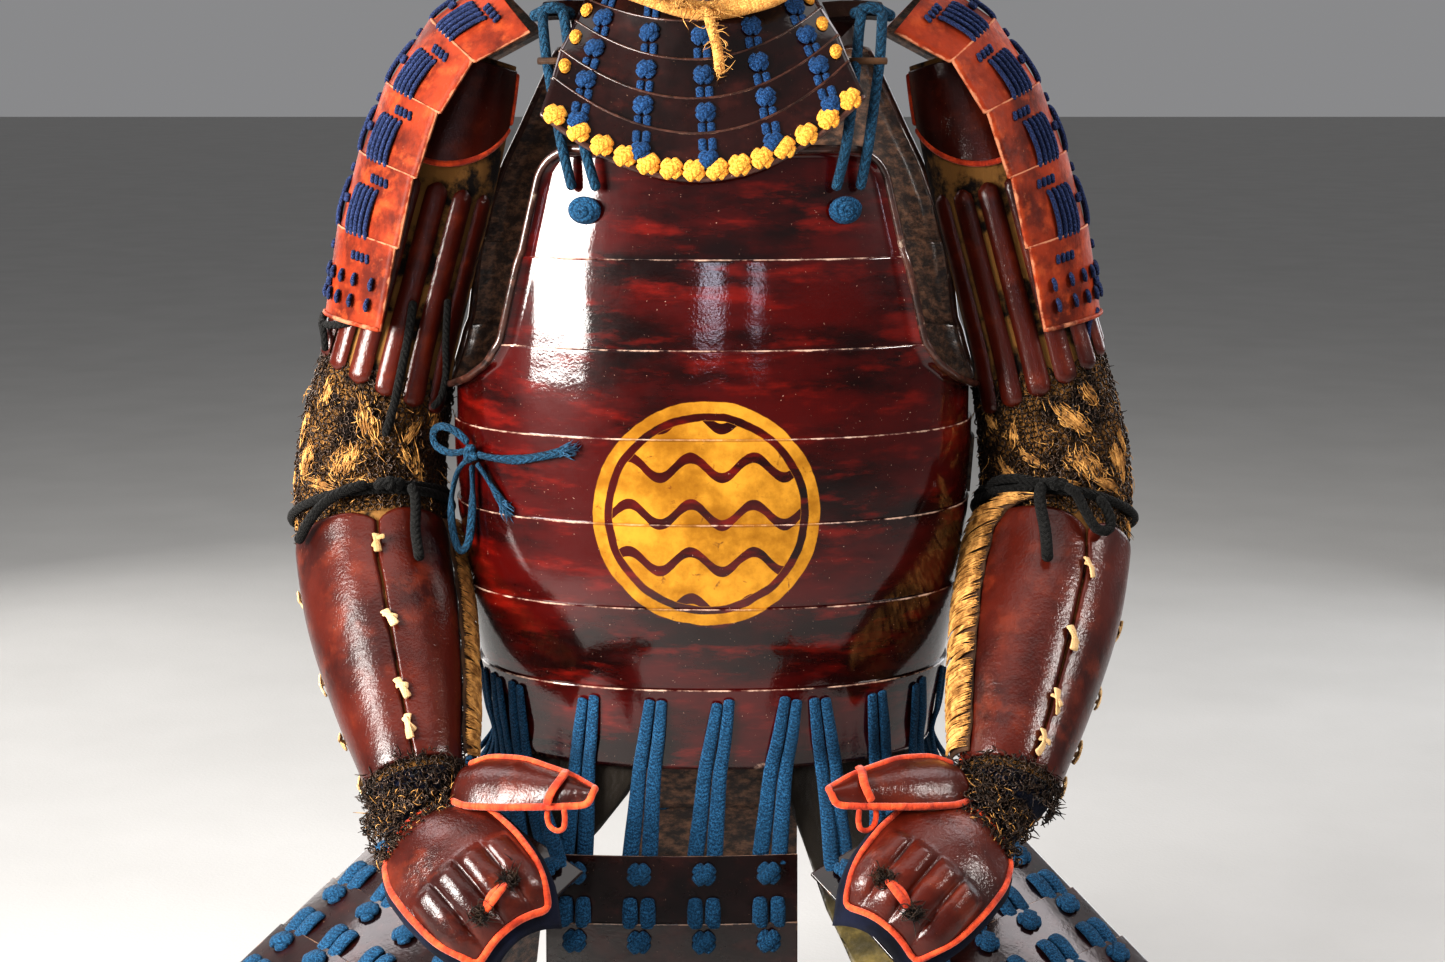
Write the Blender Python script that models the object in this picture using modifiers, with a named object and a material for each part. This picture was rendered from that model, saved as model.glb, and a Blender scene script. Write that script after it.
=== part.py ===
"""A worn suit of samurai armour: plated cuirass with laced skirt, shoulder guards, mailed sleeves
with splints and hand guards, throat guard, jaw mask, helmet and thigh aprons.

Metres, +Z up, the front faces -Y. The origin lies between the shoulder straps, where the suit is
carried. "left" and "right" are the wearer's, so the left side is +X.
"""

import math

import bmesh
import bpy
from mathutils import Euler, Matrix, Vector

SIDES = ((1, "left"), (-1, "right"))

# Walls and gaps
SHARP_ANGLE = math.radians(32)
PLATE = 0.0024
THIN_PLATE = 0.0020
CLOTH = 0.0022
STRAP = 0.0030
SEAM_GAP = 0.0005
LAME_STEP = 0.0022

# Cuirass
CUIRASS_TOP = -0.087
CUIRASS_BOTTOM = -0.522
CUIRASS_SEAMS = (-0.161, -0.2227, -0.2836, -0.343, -0.4027, -0.4622)
BACK_TOP = -0.020
ROUNDNESS = 0.87
RIM_FLARE = 0.006
INNER_DROP = 0.0010
SIDE_ANGLE = 89.9
KNOT_HEIGHT = -0.1285
KNOT_X = {1: 0.0900, -1: -0.0865}
KNOT_OFF = 0.0054
KNOT_RADII = (0.0125, 0.0098, 0.0048)
HINGE_ANGLES = (83.0, 97.0)
HINGE_HEIGHTS = (-0.300, -0.340)
# height, half width, front depth, back depth
CUIRASS_SECTIONS = (
    (-0.020, 0.150, 0.100, 0.095),
    (-0.087, 0.165, 0.118, 0.112),
    (-0.160, 0.178, 0.128, 0.120),
    (-0.260, 0.187, 0.135, 0.122),
    (-0.313, 0.189, 0.137, 0.118),
    (-0.388, 0.184, 0.137, 0.111),
    (-0.442, 0.176, 0.132, 0.107),
    (-0.522, 0.162, 0.122, 0.108),
)
# height, angle from the front's middle to the armhole's edge
FRONT_EDGE = (
    (-0.087, 33.0),
    (-0.094, 38.5),
    (-0.104, 41.0),
    (-0.161, 43.8),
    (-0.2227, 49.5),
    (-0.237, 53.5),
    (-0.249, 62.0),
    (-0.257, 74.0),
    (-0.262, SIDE_ANGLE),
)
# height, angle from the back's middle to the armhole's edge
BACK_EDGE = (
    (-0.020, 46.0),
    (-0.087, 58.0),
    (-0.120, 66.0),
    (-0.161, 69.0),
    (-0.2227, 73.0),
    (-0.237, 76.0),
    (-0.249, 80.0),
    (-0.257, 84.0),
    (-0.262, SIDE_ANGLE),
)

# name, top, table of its edges, further heights that get a row, angle of its middle
CUIRASS_HALVES = (
    ("cuirass_front", CUIRASS_TOP, FRONT_EDGE, (-0.094, -0.104, -0.237, -0.249, -0.257, -0.262), 0.0),
    ("cuirass_back", BACK_TOP, BACK_EDGE, (-0.028, -0.237, -0.249, -0.257, -0.262), 180.0),
)
CUIRASS_COLUMNS = 12
CUIRASS_RIM_SHARE = 0.93

# Shoulder straps: places across, from the neck to the arm
STRAP_ACROSS = (0.064, 0.078, 0.092, 0.106)
STRAP_CROWN = 3.0
STRAP_LEAN = 0.10
# height, gap to the back plate
STRAP_BACK = (
    (-0.068, 0.0010),
    (-0.040, RIM_FLARE),
    (-0.016, RIM_FLARE + 0.001),
)
# height, y, shift towards the arm
STRAP_OVER = (
    (0.003, 0.080, 0.0010),
    (0.016, 0.040, 0.0040),
    (0.018, 0.005, 0.0080),
    (0.014, -0.034, 0.0130),
    (0.003, -0.064, 0.0170),
)

# Cords of the chest: x, y and z of the left one's inner and outer stretch, from the knot up
CHEST_CORD_RADIUS = 0.0036
CHEST_CORD_SHIFT = {1: (0.0, 0.0, 0.0), -1: (0.0055, -0.0022, 0.0)}
CHEST_CORD_INNER = (
    (0.0840, -0.1178, -0.1150), (0.0880, -0.1188, -0.0990), (0.0915, -0.1165, -0.0820),
    (0.0955, -0.1020, -0.0560), (0.0990, -0.0890, -0.0280), (0.1010, -0.0800, -0.0080),
    (0.1030, -0.0737, 0.0045), (0.1050, -0.0625, 0.0090),
)
CHEST_CORD_OUTER = (
    (0.1010, -0.1098, -0.1150), (0.1040, -0.1108, -0.0990), (0.1070, -0.1090, -0.0820),
    (0.1110, -0.0980, -0.0560), (0.1150, -0.0880, -0.0280), (0.1165, -0.0810, -0.0090),
    (0.1170, -0.0744, 0.0040), (0.1150, -0.0632, 0.0087),
)

# Head group, tilted a little to the wearer's right
HEAD_TILT = -3.0
HEAD_SHIFT = -0.005
# height, half width, front, how far back the ends sit, how far up the ends rise
THROAT_LAMES = (
    (0.024, 0.070, -0.0980, 0.046, 0.010),
    (-0.001, 0.078, -0.1060, 0.040, 0.020),
    (-0.027, 0.0850, -0.1140, 0.034, 0.031),
    (-0.053, 0.0955, -0.1210, 0.027, 0.038),
    (-0.076, 0.101, -0.1265, 0.019, 0.043),
    (-0.107, 0.110, -0.1320, 0.011, 0.050),
)
MASK_ROWS = (
    (0.0210, 0.0672, -0.0949, 0.045, 0.010),
    (0.0262, 0.0680, -0.0955, 0.045, 0.010),
    (0.040, 0.0700, -0.1080, 0.062, 0.020),
    (0.056, 0.0715, -0.1100, 0.074, 0.032),
    (0.074, 0.0725, -0.1040, 0.076, 0.050),
    (0.080, 0.0735, -0.1050, 0.078, 0.056),
)
# x, y and z along the helmet's cord, and along its free end
CHIN_CORD_RADIUS = 0.0066
CHIN_CORD_ROUTE = (
    (-0.0950, -0.0450, 0.1720), (-0.0930, -0.0600, 0.1050), (-0.0860, -0.0800, 0.0640),
    (-0.0640, -0.1080, 0.0330), (-0.0330, -0.1106, 0.0170), (0.0000, -0.1108, 0.0060),
    (0.0330, -0.1106, 0.0080), (0.0620, -0.1060, 0.0180), (0.0860, -0.0820, 0.0500),
    (0.0930, -0.0600, 0.1050), (0.0950, -0.0450, 0.1720),
)
CHIN_END_RADIUS = 0.0040
CHIN_END_ROUTE = (
    (0.0060, -0.1212, 0.0080), (0.0085, -0.1238, -0.0040), (0.0120, -0.1232, -0.0200),
    (0.0130, -0.1255, -0.0370),
)
HELMET_CENTRE = -0.022
HELMET_RIM = 0.165
HELMET_HALF_WIDTH = 0.107
HELMET_HALF_DEPTH = 0.128
HELMET_RIBS = 10
RIB_PROUD = 0.0018
# height above the rim, share of the rim's size
HELMET_PROFILE = (
    (0.000, 1.00),
    (0.040, 0.980),
    (0.078, 0.880),
    (0.108, 0.680),
    (0.128, 0.400),
    (0.136, 0.110),
)
# height, half width, half depth
NECK_LAMES = (
    (0.1690, 0.1114, 0.1324),
    (0.134, 0.1230, 0.1440),
    (0.104, 0.1370, 0.1580),
    (0.072, 0.1530, 0.1740),
)
NECK_SPREAD = 112.0
VISOR_SPREAD = 62.0
# out from the helmet's rim, drop below it
VISOR_ROWS = (
    (0.001, 0.0006),
    (0.020, 0.0080),
    (0.038, 0.0200),
)

# Shoulder guards: the outer surface's middle and its front edge, row by row
SHOULDER_GUARD_HALF = 0.074
# middle x, middle z, edge x, edge z
SHOULDER_GUARD_LAMES = (
    (0.1600, 0.030, 0.1260, -0.008),
    (0.2005, 0.002, 0.1640, -0.028),
    (0.2335, -0.043, 0.1890, -0.063),
    (0.2540, -0.092, 0.2070, -0.108),
    (0.2710, -0.145, 0.2205, -0.157),
    (0.2840, -0.210, 0.2350, -0.2165),
)
GUARD_CORD_RADIUS = 0.0030
GUARD_CORD_ROUTE = (
    (0.1010, 0.0020, 0.0208), (0.1150, 0.0010, 0.0297), (0.1380, 0.0, 0.0380),
    (0.1600, 0.0, 0.0343), (0.1680, 0.0, 0.0288),
)

# Sleeves: x, y, z and radius along the arm
ARM_RINGS = (
    (0.172, 0.004, -0.024, 0.0310),
    (0.183, 0.002, -0.062, 0.0370),
    (0.201, 0.001, -0.115, 0.0430),
    (0.218, 0.000, -0.175, 0.0440),
    (0.235, 0.000, -0.235, 0.0460),
    (0.247, -0.001, -0.285, 0.0500),
    (0.253, -0.005, -0.325, 0.0525),
    (0.251, -0.019, -0.360, 0.0530),
    (0.244, -0.045, -0.395, 0.0530),
    (0.234, -0.077, -0.426, 0.0515),
    (0.224, -0.108, -0.455, 0.0465),
    (0.214, -0.139, -0.483, 0.0400),
    (0.206, -0.166, -0.505, 0.0330),
    (0.198, -0.188, -0.529, 0.0275),
)
SLEEVE_STEPS = 14
SLEEVE_SIDES = 12
SPLINT_RIBS = 7
SPLINT_PROUD = 0.0028
TIE_RADIUS = 0.0042
TIE_OFF = TIE_RADIUS + 0.0014
TIE_PLACE = 6.90
TIE_SLANT = 0.10
SPLINT_ANGLES = (-70.0, 104.0)
SPLINT_TOP = 1.95
SPLINT_FOOT = 4.55
SPLINT_SKEW = 0.0035
CAP_ANGLES = (-78.0, 90.0)
CAP_TOP = 0.15
CAP_EDGE = 0.9
CAP_POINT = 0.85
CAP_MIDDLE = 11.0
PLATE_LIFT = 0.0010
FOREARM_TOP = 7.45
FOREARM_BOTTOM = 12.35
FOREARM_NOTCH = 0.30
FOREARM_CROWN = 0.0022
# side, inner, groove and outer angles of the two front plates, from the arm's front outwards
FOREARM_ANGLES = {1: (-90.0, 14.0, 92.0), -1: (-88.0, -16.0, 92.0)}
PLATE_SEAM = 1.6
BACK_PLATE_END = 168.0

# Hands: where the middle of the hand's back lies, its finger direction and its thumb side
HAND_CENTRES = {1: (0.146, -0.262, -0.548), -1: (-0.165, -0.262, -0.550)}
HAND_FINGERS = (-0.59, -0.71, -0.37)
HAND_THUMBWARD = (-0.675, 0.467, 0.571)
# along the fingers, half width, height of the crown
HAND_OUTLINE = (
    (-0.062, 0.0190, 0.0020),
    (-0.056, 0.0240, 0.0050),
    (-0.044, 0.0350, 0.0100),
    (-0.022, 0.0425, 0.0150),
    (0.004, 0.0440, 0.0160),
    (0.028, 0.0425, 0.0120),
    (0.046, 0.0370, 0.0030),
    (0.056, 0.0290, -0.0060),
    (0.066, 0.0210, -0.0150),
)
HAND_FALL = 0.013
HAND_ROWS = (-0.056, -0.044, -0.022, 0.002, 0.012, 0.028, 0.046, 0.056)
GLOVE_ROWS = (-0.062, -0.044, -0.022, 0.004, 0.028, 0.046, 0.062)
WRIST_ROWS = (12.5, 13.0)
WRIST_OFF = CLOTH + 0.0012
KNUCKLES = (-0.0300, -0.0105, 0.0105, 0.0300)
KNUCKLE_HALF = 0.0088
KNUCKLE_PROUD = 0.0042
KNUCKLE_START = 0.002
KNUCKLE_RUN = 0.010
GLOVE_DROP = 0.0026
GLOVE_MARGIN = 0.005
WRIST_SPREAD = 60.0
THUMB_BASES = {1: (0.170, -0.2040, -0.5045), -1: (-0.1715, -0.2050, -0.5048)}
THUMB_TIP = (0.078, -0.252, -0.499)
THUMB_FACE = (0.05, -0.62, 0.78)
THUMB_FALL = 0.008
# share of the length, half width, height of the crown
THUMB_OUTLINE = (
    (0.00, 0.0140, 0.004),
    (0.14, 0.0210, 0.008),
    (0.42, 0.0205, 0.010),
    (0.80, 0.0130, 0.006),
    (1.00, 0.0060, 0.001),
)

# The free ends of the arms' ties: name, side, radius, then their routes as place along the arm,
# angle round it and height off the sleeve
ARM_TIE_ENDS = (
    ("elbow_end_short_right", -1, 0.0038, (
        (6.92, -8.0, 0.0132), (7.10, 6.0, 0.0150), (7.30, 18.0, 0.0150), (7.55, 30.0, 0.0145),
        (7.75, 44.0, 0.0125))),
    ("elbow_end_long_right", -1, 0.0038, (
        (6.95, -34.0, 0.0140), (7.25, -38.0, 0.0150), (7.65, -40.0, 0.0135), (8.20, -41.0, 0.0120),
        (8.80, -43.0, 0.0105))),
    ("elbow_end_long_left", 1, 0.0042, (
        (6.95, -17.0, 0.0145), (7.25, -20.0, 0.0150), (7.65, -20.0, 0.0135), (8.20, -18.0, 0.0120),
        (8.80, -15.0, 0.0110))),
    ("elbow_loop_left", 1, 0.0038, (
        (6.96, -4.0, 0.0134), (7.20, 2.0, 0.0150), (7.60, 8.0, 0.0140), (7.85, 16.0, 0.0130),
        (7.75, 25.0, 0.0135), (7.45, 24.0, 0.0145), (7.15, 16.0, 0.0150))),
    ("arm_end_right", -1, 0.0032, (
        (3.30, -11.2, 0.0096), (3.70, -14.2, 0.0100), (4.20, -15.2, 0.0100), (4.70, -15.2, 0.0098),
        (5.20, -13.2, 0.0075))),
)
# The bow at the cuirass's right side: name, radius, then routes as angle round it, height and
# distance off it
SIDE_TIE_ENDS = (
    ("side_tie_loop_short", 0.0028, (
        (-60.1, -0.2954, 0.0085), (-63.5, -0.2880, 0.0130), (-68.0, -0.2850, 0.0185),
        (-72.0, -0.2900, 0.0215), (-72.0, -0.3000, 0.0200), (-67.0, -0.3040, 0.0140),
        (-61.3, -0.3013, 0.0085))),
    ("side_tie_loop_long", 0.0030, (
        (-60.6, -0.3067, 0.0082), (-64.0, -0.3170, 0.0118), (-67.5, -0.3380, 0.0140),
        (-68.5, -0.3600, 0.0140), (-66.0, -0.3745, 0.0125), (-62.5, -0.3680, 0.0095),
        (-60.8, -0.3470, 0.0070), (-59.6, -0.3260, 0.0065), (-58.7, -0.3103, 0.0078))),
    ("side_tie_end_short", 0.0030, (
        (-56.6, -0.3084, 0.0074), (-54.0, -0.3160, 0.0055), (-51.0, -0.3260, 0.0044),
        (-47.5, -0.3370, 0.0040))),
    ("side_tie_end_long", 0.0034, (
        (-55.6, -0.3018, 0.0078), (-50.0, -0.3030, 0.0060), (-42.0, -0.3020, 0.0056),
        (-35.0, -0.2980, 0.0056), (-28.5, -0.2930, 0.0057))),
)
SIDE_KNOT = (-58.5, -0.3020, 0.0079)
SIDE_KNOT_RADII = (0.0075, 0.0062, 0.0070)
SIDE_KNOT_TURN = 35.0
# points that a free end's curve has beyond its route's own
EXTRA_POINTS = 3

# Skirt panels
STRAP_TOP = -0.473
STRAP_MARGIN = 0.0202
BRAID_HALF = 0.0120
BRAID_TOP_HALF = 0.0074
BRAID_FOOT_HALF = 0.0096
SKIRT_LAMES = 5
PANEL_CURVE = 1.3
# Bow of a strap on the cuirass that its two straight edges have to clear
STRAP_SAG = 1.15
# name, azimuth, half width, x, y and z of the first lame's top, slope, roll, lame pitch, straps,
# shift and spread of the straps' tops, share of that shift where they pass the cuirass's foot
SKIRT_PANELS = (
    ("skirt_front", 0.0, 0.0885, -0.0287, -0.1500, -0.5770, 82.0, 0.0, 0.0475, 4,
     0.0130, 1.03, 0.43),
    ("skirt_front_left", 45.0, 0.0830, 0.1325, -0.1305, -0.5600, 29.5, 9.0, 0.0500, 4,
     0.0275, 0.97, 1.40),
    ("skirt_front_right", -50.0, 0.0830, -0.1500, -0.1150, -0.5620, 29.5, -9.0, 0.0500, 4,
     -0.0530, 0.58, 1.05),
    ("skirt_back_left", 117.0, 0.0680, 0.1560, 0.0780, -0.5800, 80.0, 0.0, 0.0475, 3,
     0.0, 1.0, 0.5),
    ("skirt_back_right", -117.0, 0.0680, -0.1560, 0.0780, -0.5800, 80.0, 0.0, 0.0475, 3,
     0.0, 1.0, 0.5),
    ("skirt_back", 180.0, 0.0680, 0.0, 0.1290, -0.5800, 82.0, 0.0, 0.0475, 3,
     0.0, 1.0, 0.5),
)

# Thigh aprons under the front skirt panels: where each one's middle leaves the belt
APRON_STARTS = {1: (0.105, -0.045), -1: (-0.160, -0.045)}
APRON_TOP = -0.5571
APRON_AZIMUTH = 45.0
APRON_INNER_HALF = 0.128
APRON_OUTER_HALF = 0.086
APRON_WAIST_SHARE = 0.50
APRON_FLARE_LENGTH = 0.160
APRON_HANG = 0.030
APRON_SEAM = -0.507
APRON_LENGTH = 0.330
APRON_SLOPE = 29.0
APRON_DROP = 0.034
KNEE_RADIUS = 0.060
KNEE_SLOPE = 75.0
APRON_ROWS = (0.000, APRON_HANG, 0.065, 0.120, 0.200, 0.330, 0.362, 0.395, 0.450)
APRON_TUCK = 0.90
APRON_TURN = 30.0
APRON_OFF = CLOTH + 0.0008
BELT_TOP = -0.476
BELT_FOOT = -0.516
BELT_INSET = 0.0108

COLOURS = {
    "red_lacquer": ((0.105, 0.008, 0.006), 0.16, 0.0),
    "russet_lacquer": ((0.150, 0.022, 0.012), 0.28, 0.0),
    "orange_lacquer": ((0.360, 0.070, 0.022), 0.55, 0.0),
    "dark_lacquer": ((0.030, 0.010, 0.008), 0.22, 0.0),
    "blue_cord": ((0.030, 0.120, 0.230), 0.85, 0.0),
    "black_cord": ((0.016, 0.018, 0.018), 0.85, 0.0),
    "yellow_cord": ((0.620, 0.330, 0.075), 0.90, 0.0),
    "sleeve_cloth": ((0.160, 0.100, 0.045), 0.95, 0.0),
    "indigo_cloth": ((0.030, 0.040, 0.080), 0.90, 0.0),
    "olive_cloth": ((0.180, 0.140, 0.050), 0.95, 0.0),
    "iron": ((0.060, 0.050, 0.045), 0.50, 0.9),
}


def clear_scene():
    for old in list(bpy.data.objects):
        bpy.data.objects.remove(old, do_unlink=True)


def make_materials():
    made = {}
    for name, (colour, roughness, metallic) in COLOURS.items():
        material = bpy.data.materials.new(name)
        material.use_nodes = True
        shader = material.node_tree.nodes["Principled BSDF"]
        shader.inputs["Base Color"].default_value = (*colour, 1.0)
        shader.inputs["Roughness"].default_value = roughness
        shader.inputs["Metallic"].default_value = metallic
        made[name] = material
    return made


def between(table, at):
    """The other columns of a table at this value of its first column."""
    rows = sorted(table)
    if at <= rows[0][0]:
        return rows[0][1:]
    for low, high in zip(rows, rows[1:]):
        if at <= high[0]:
            share = (at - low[0]) / (high[0] - low[0])
            return tuple(a + (b - a) * share for a, b in zip(low[1:], high[1:]))
    return rows[-1][1:]


def smooth_between(rows, at):
    """A point on the smooth curve through evenly numbered rows, where at counts rows."""
    last = len(rows) - 1
    i = min(int(max(at, 0.0)), last - 1)
    t = at - i
    a, b = rows[max(i - 1, 0)], rows[i]
    c, d = rows[i + 1], rows[min(i + 2, last)]
    return tuple(
        q + 0.5 * ((r - p) * t + (2 * p - 5 * q + 4 * r - s) * t**2 + (3 * q - p - 3 * r + s) * t**3)
        for p, q, r, s in zip(a, b, c, d)
    )


def spread(low, high, steps):
    return [low + (high - low) * i / steps for i in range(steps + 1)]


def mirrored(point, side):
    return Vector((point[0] * side, point[1], point[2]))


def add_object(name, data, material):
    made = bpy.data.objects.new(name, data)
    data.materials.append(material)
    ARMOUR.objects.link(made)
    return made


def finish_wall(name, bm, thickness, material, inner):
    """Turns an open surface so that it faces away from inner, and gives it a wall on its inner side."""
    facing = sum(
        face.normal.dot(face.calc_center_median() - inner) * face.calc_area()
        for face in bm.faces
    )
    if facing < 0:
        bmesh.ops.reverse_faces(bm, faces=bm.faces[:])
    mesh = bpy.data.meshes.new(name)
    bm.to_mesh(mesh)
    bm.free()
    mesh.shade_smooth()
    mesh.set_sharp_from_angle(angle=SHARP_ANGLE)
    made = add_object(name, mesh, material)
    wall = made.modifiers.new("wall", "SOLIDIFY")
    wall.thickness = thickness
    wall.offset = -1.0
    return made


def loft(bm, rows, closed=False):
    """Quads through rows of points, each row with the same number of them."""
    grid = [[bm.verts.new(point) for point in row] for row in rows]
    count = len(grid[0])
    for upper, lower in zip(grid, grid[1:]):
        for i in range(count if closed else count - 1):
            j = (i + 1) % count
            bm.faces.new((upper[i], lower[i], lower[j], upper[j]))
    bm.normal_update()
    return grid


def wall_through(name, rows, thickness, material, inner, closed=False):
    bm = bmesh.new()
    loft(bm, rows, closed)
    return finish_wall(name, bm, thickness, material, Vector(inner))


def cased_wall(name, outer, inner, material):
    """A wall between an outer surface with steps in it and a plain inner one."""
    bm = bmesh.new()
    loft(bm, outer)
    loft(bm, inner)
    bmesh.ops.bridge_loops(bm, edges=[edge for edge in bm.edges if edge.is_boundary])
    bmesh.ops.recalc_face_normals(bm, faces=bm.faces[:])
    mesh = bpy.data.meshes.new(name)
    bm.to_mesh(mesh)
    bm.free()
    mesh.shade_smooth()
    mesh.set_sharp_from_angle(angle=SHARP_ANGLE)
    return add_object(name, mesh, material)


def lame_rows(edges, step=LAME_STEP):
    """(place, proud) down a plated wall whose lower lames stand proud of the ones above them."""
    rows = []
    for number, (top, bottom) in enumerate(zip(edges, edges[1:])):
        rows.append((top, step if number else 0.0))
        rows.append((bottom, 0.0))
    return rows


def smooth_route(points, count):
    """count points evenly numbered along the smooth curve through a route's own points."""
    return [Vector(smooth_between(points, at)) for at in spread(0, len(points) - 1, count - 1)]


def cord(name, points, radius, material, cyclic=False):
    curve = bpy.data.curves.new(name, "CURVE")
    curve.dimensions = "3D"
    spline = curve.splines.new("POLY")
    spline.points.add(len(points) - 1)
    for knot, point in zip(spline.points, points):
        knot.co = (*point, 1.0)
    spline.use_cyclic_u = cyclic
    spline.use_smooth = True
    curve.bevel_depth = radius
    curve.bevel_resolution = 2
    curve.use_fill_caps = not cyclic
    return add_object(name, curve, material)


def pad(name, centre, radii, turn, material):
    """A flattened ball, such as a cord's round knot."""
    bm = bmesh.new()
    bmesh.ops.create_uvsphere(bm, u_segments=10, v_segments=6, radius=1.0)
    bmesh.ops.scale(bm, verts=bm.verts, vec=radii)
    bmesh.ops.rotate(bm, verts=bm.verts, cent=(0, 0, 0), matrix=turn)
    mesh = bpy.data.meshes.new(name)
    bm.to_mesh(mesh)
    bm.free()
    mesh.shade_smooth()
    made = add_object(name, mesh, material)
    made.location = centre
    return made


def cuirass_point(degrees, height, proud=0.0):
    """A point of the cuirass's outer surface, degrees round from the middle of the front."""
    half_width, front, back = between(CUIRASS_SECTIONS, height)
    angle = math.radians(degrees)
    sine, cosine = math.sin(angle), math.cos(angle)
    depth = front if cosine >= 0 else back
    x = half_width * math.copysign(abs(sine) ** ROUNDNESS, sine)
    y = -depth * math.copysign(abs(cosine) ** ROUNDNESS, cosine)
    power = 2 / ROUNDNESS - 1
    normal = Vector((
        math.copysign(abs(x / half_width) ** power / half_width, x),
        math.copysign(abs(y / depth) ** power / depth, y),
        0.0,
    )).normalized()
    return Vector((x, y, height)) + normal * proud


def cuirass_rows(top, edge_table, extra_heights):
    """(height, proud, edge angle) for each row of points down one half of the cuirass."""
    edges = (top, *CUIRASS_SEAMS, CUIRASS_BOTTOM)
    rows = lame_rows(edges)
    for height in extra_heights:
        lame = next(i for i in range(len(edges) - 1) if edges[i] > height > edges[i + 1])
        share = (height - edges[lame + 1]) / (edges[lame] - edges[lame + 1])
        rows.append((height, LAME_STEP * share if lame else 0.0))
    rows.sort(key=lambda row: (-row[0], row[1]))
    return [(height, proud, between(edge_table, height)[0]) for height, proud in rows]


def make_cuirass(materials):
    columns = [-1.0, *spread(-CUIRASS_RIM_SHARE, CUIRASS_RIM_SHARE, CUIRASS_COLUMNS), 1.0]
    for name, top, edge_table, extra, middle in CUIRASS_HALVES:
        outer, inner = [], []
        for height, proud, edge in cuirass_rows(top, edge_table, extra):
            inner_height = height - INNER_DROP * (proud == LAME_STEP)
            for rows, place, depth in ((outer, height, proud), (inner, inner_height, -PLATE)):
                rows.append([
                    cuirass_point(
                        middle + u * edge, place,
                        depth + RIM_FLARE * (height == top or (abs(u) == 1.0 and edge < SIDE_ANGLE)),
                    )
                    for u in columns
                ])
        cased_wall(name, outer, inner, materials["red_lacquer"])


def make_side_hinge(materials):
    """The hinge leaf over the left side seam, where the two halves swing when untied."""
    lame_top, lame_foot = CUIRASS_SEAMS[2:4]
    rows = []
    for height in HINGE_HEIGHTS:
        proud = LAME_STEP * (height - lame_foot) / (lame_top - lame_foot) + THIN_PLATE + SEAM_GAP
        rows.append([cuirass_point(angle, height, proud) for angle in spread(*HINGE_ANGLES, 4)])
    wall_through("side_hinge", rows, THIN_PLATE, materials["iron"], (0, 0, HINGE_HEIGHTS[0]))


def cuirass_y(x, height, back=False):
    """Where the cuirass's surface lies at this place across its front or back."""
    half_width, front_depth, back_depth = between(CUIRASS_SECTIONS, height)
    power = 2 / ROUNDNESS
    share = (1 - abs(x / half_width) ** power) ** (1 / power)
    return back_depth * share if back else -front_depth * share


def shoulder_strap_rows(side):
    """Across the strap from neck to arm, from the back plate over the shoulder to its front end."""
    rows = []
    for height, clear in STRAP_BACK:
        rows.append([
            Vector((x * side, cuirass_y(x, height, back=True) + STRAP + clear, height))
            for x in STRAP_ACROSS
        ])
    neck_edge, middle = STRAP_ACROSS[0], sum(STRAP_ACROSS) / len(STRAP_ACROSS)
    for height, y, shift in STRAP_OVER:
        rows.append([
            Vector((
                (x + shift) * side,
                y - STRAP_LEAN * (x - neck_edge),
                height - STRAP_CROWN * (x - middle) ** 2,
            ))
            for x in STRAP_ACROSS
        ])
    return rows


def make_shoulder_straps(materials):
    for side, word in SIDES:
        wall_through(
            f"shoulder_strap_{word}", shoulder_strap_rows(side), STRAP, materials["dark_lacquer"],
            (0.085 * side, 0.01, -0.12),
        )


def make_chest_cords(materials):
    """Doubled cords that hang over each strap's front end to the breastplate, and their knots."""
    route = (*CHEST_CORD_INNER, *reversed(CHEST_CORD_OUTER))
    for side, word in SIDES:
        shift = Vector(CHEST_CORD_SHIFT[side])
        points = []
        for point in route:
            share = min(max(point[2] / route[0][2], 0), 1)
            points.append(mirrored(point, side) + shift * share)
        cord(f"chest_cord_{word}", smooth_route(points, 20), CHEST_CORD_RADIUS, materials["blue_cord"])
        angle = angle_towards(KNOT_X[side], 0.0, KNOT_HEIGHT)
        foot = cuirass_point(angle, KNOT_HEIGHT)
        normal = (cuirass_point(angle, KNOT_HEIGHT, 1.0) - foot).normalized()
        pad(
            f"chest_knot_{word}", foot + normal * KNOT_OFF, KNOT_RADII,
            normal.to_track_quat("Z", "Y").to_matrix(), materials["blue_cord"],
        )


def head_group():
    """The empty that tilts the throat guard, mask and helmet together."""
    empty = bpy.data.objects.new("head_tilt", None)
    ARMOUR.objects.link(empty)
    pivot = Vector((0, 0, CUIRASS_TOP))
    turn = Euler((0, math.radians(HEAD_TILT), 0)).to_matrix().to_4x4()
    shift = Vector((HEAD_SHIFT, 0, 0))
    empty.matrix_world = Matrix.Translation(pivot + shift) @ turn @ Matrix.Translation(-pivot)
    return empty


def arched_row(height, half_width, front, back, rise, columns, proud=0.0):
    """A row that is furthest forward in its middle, with its ends set back and up."""
    return [
        Vector((half_width * u, front - proud + back * u * u, height + rise * u * u))
        for u in columns
    ]


def lamed_wall_rows(table, make_row, step=LAME_STEP):
    """Two rows of points for each lame of a table whose rows are the lames' edges."""
    rows = []
    for number, (top, bottom) in enumerate(zip(table, table[1:])):
        rows.append(make_row(top, step if number else 0.0))
        rows.append(make_row(bottom, 0.0))
    return rows


def make_throat_guard(materials, group):
    columns = spread(-1, 1, 14)
    rows = lamed_wall_rows(
        THROAT_LAMES, lambda row, proud: arched_row(*row, columns, proud)
    )
    guard = wall_through("throat_guard", rows, THIN_PLATE, materials["dark_lacquer"], (0, 0.1, -0.04))
    guard.parent = group


def make_mask(materials, group):
    columns = spread(-1, 1, 10)
    rows = [arched_row(*row, columns) for row in MASK_ROWS]
    mask = wall_through("jaw_mask", rows, THIN_PLATE, materials["dark_lacquer"], (0, 0.1, 0.05))
    mask.parent = group


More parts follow.
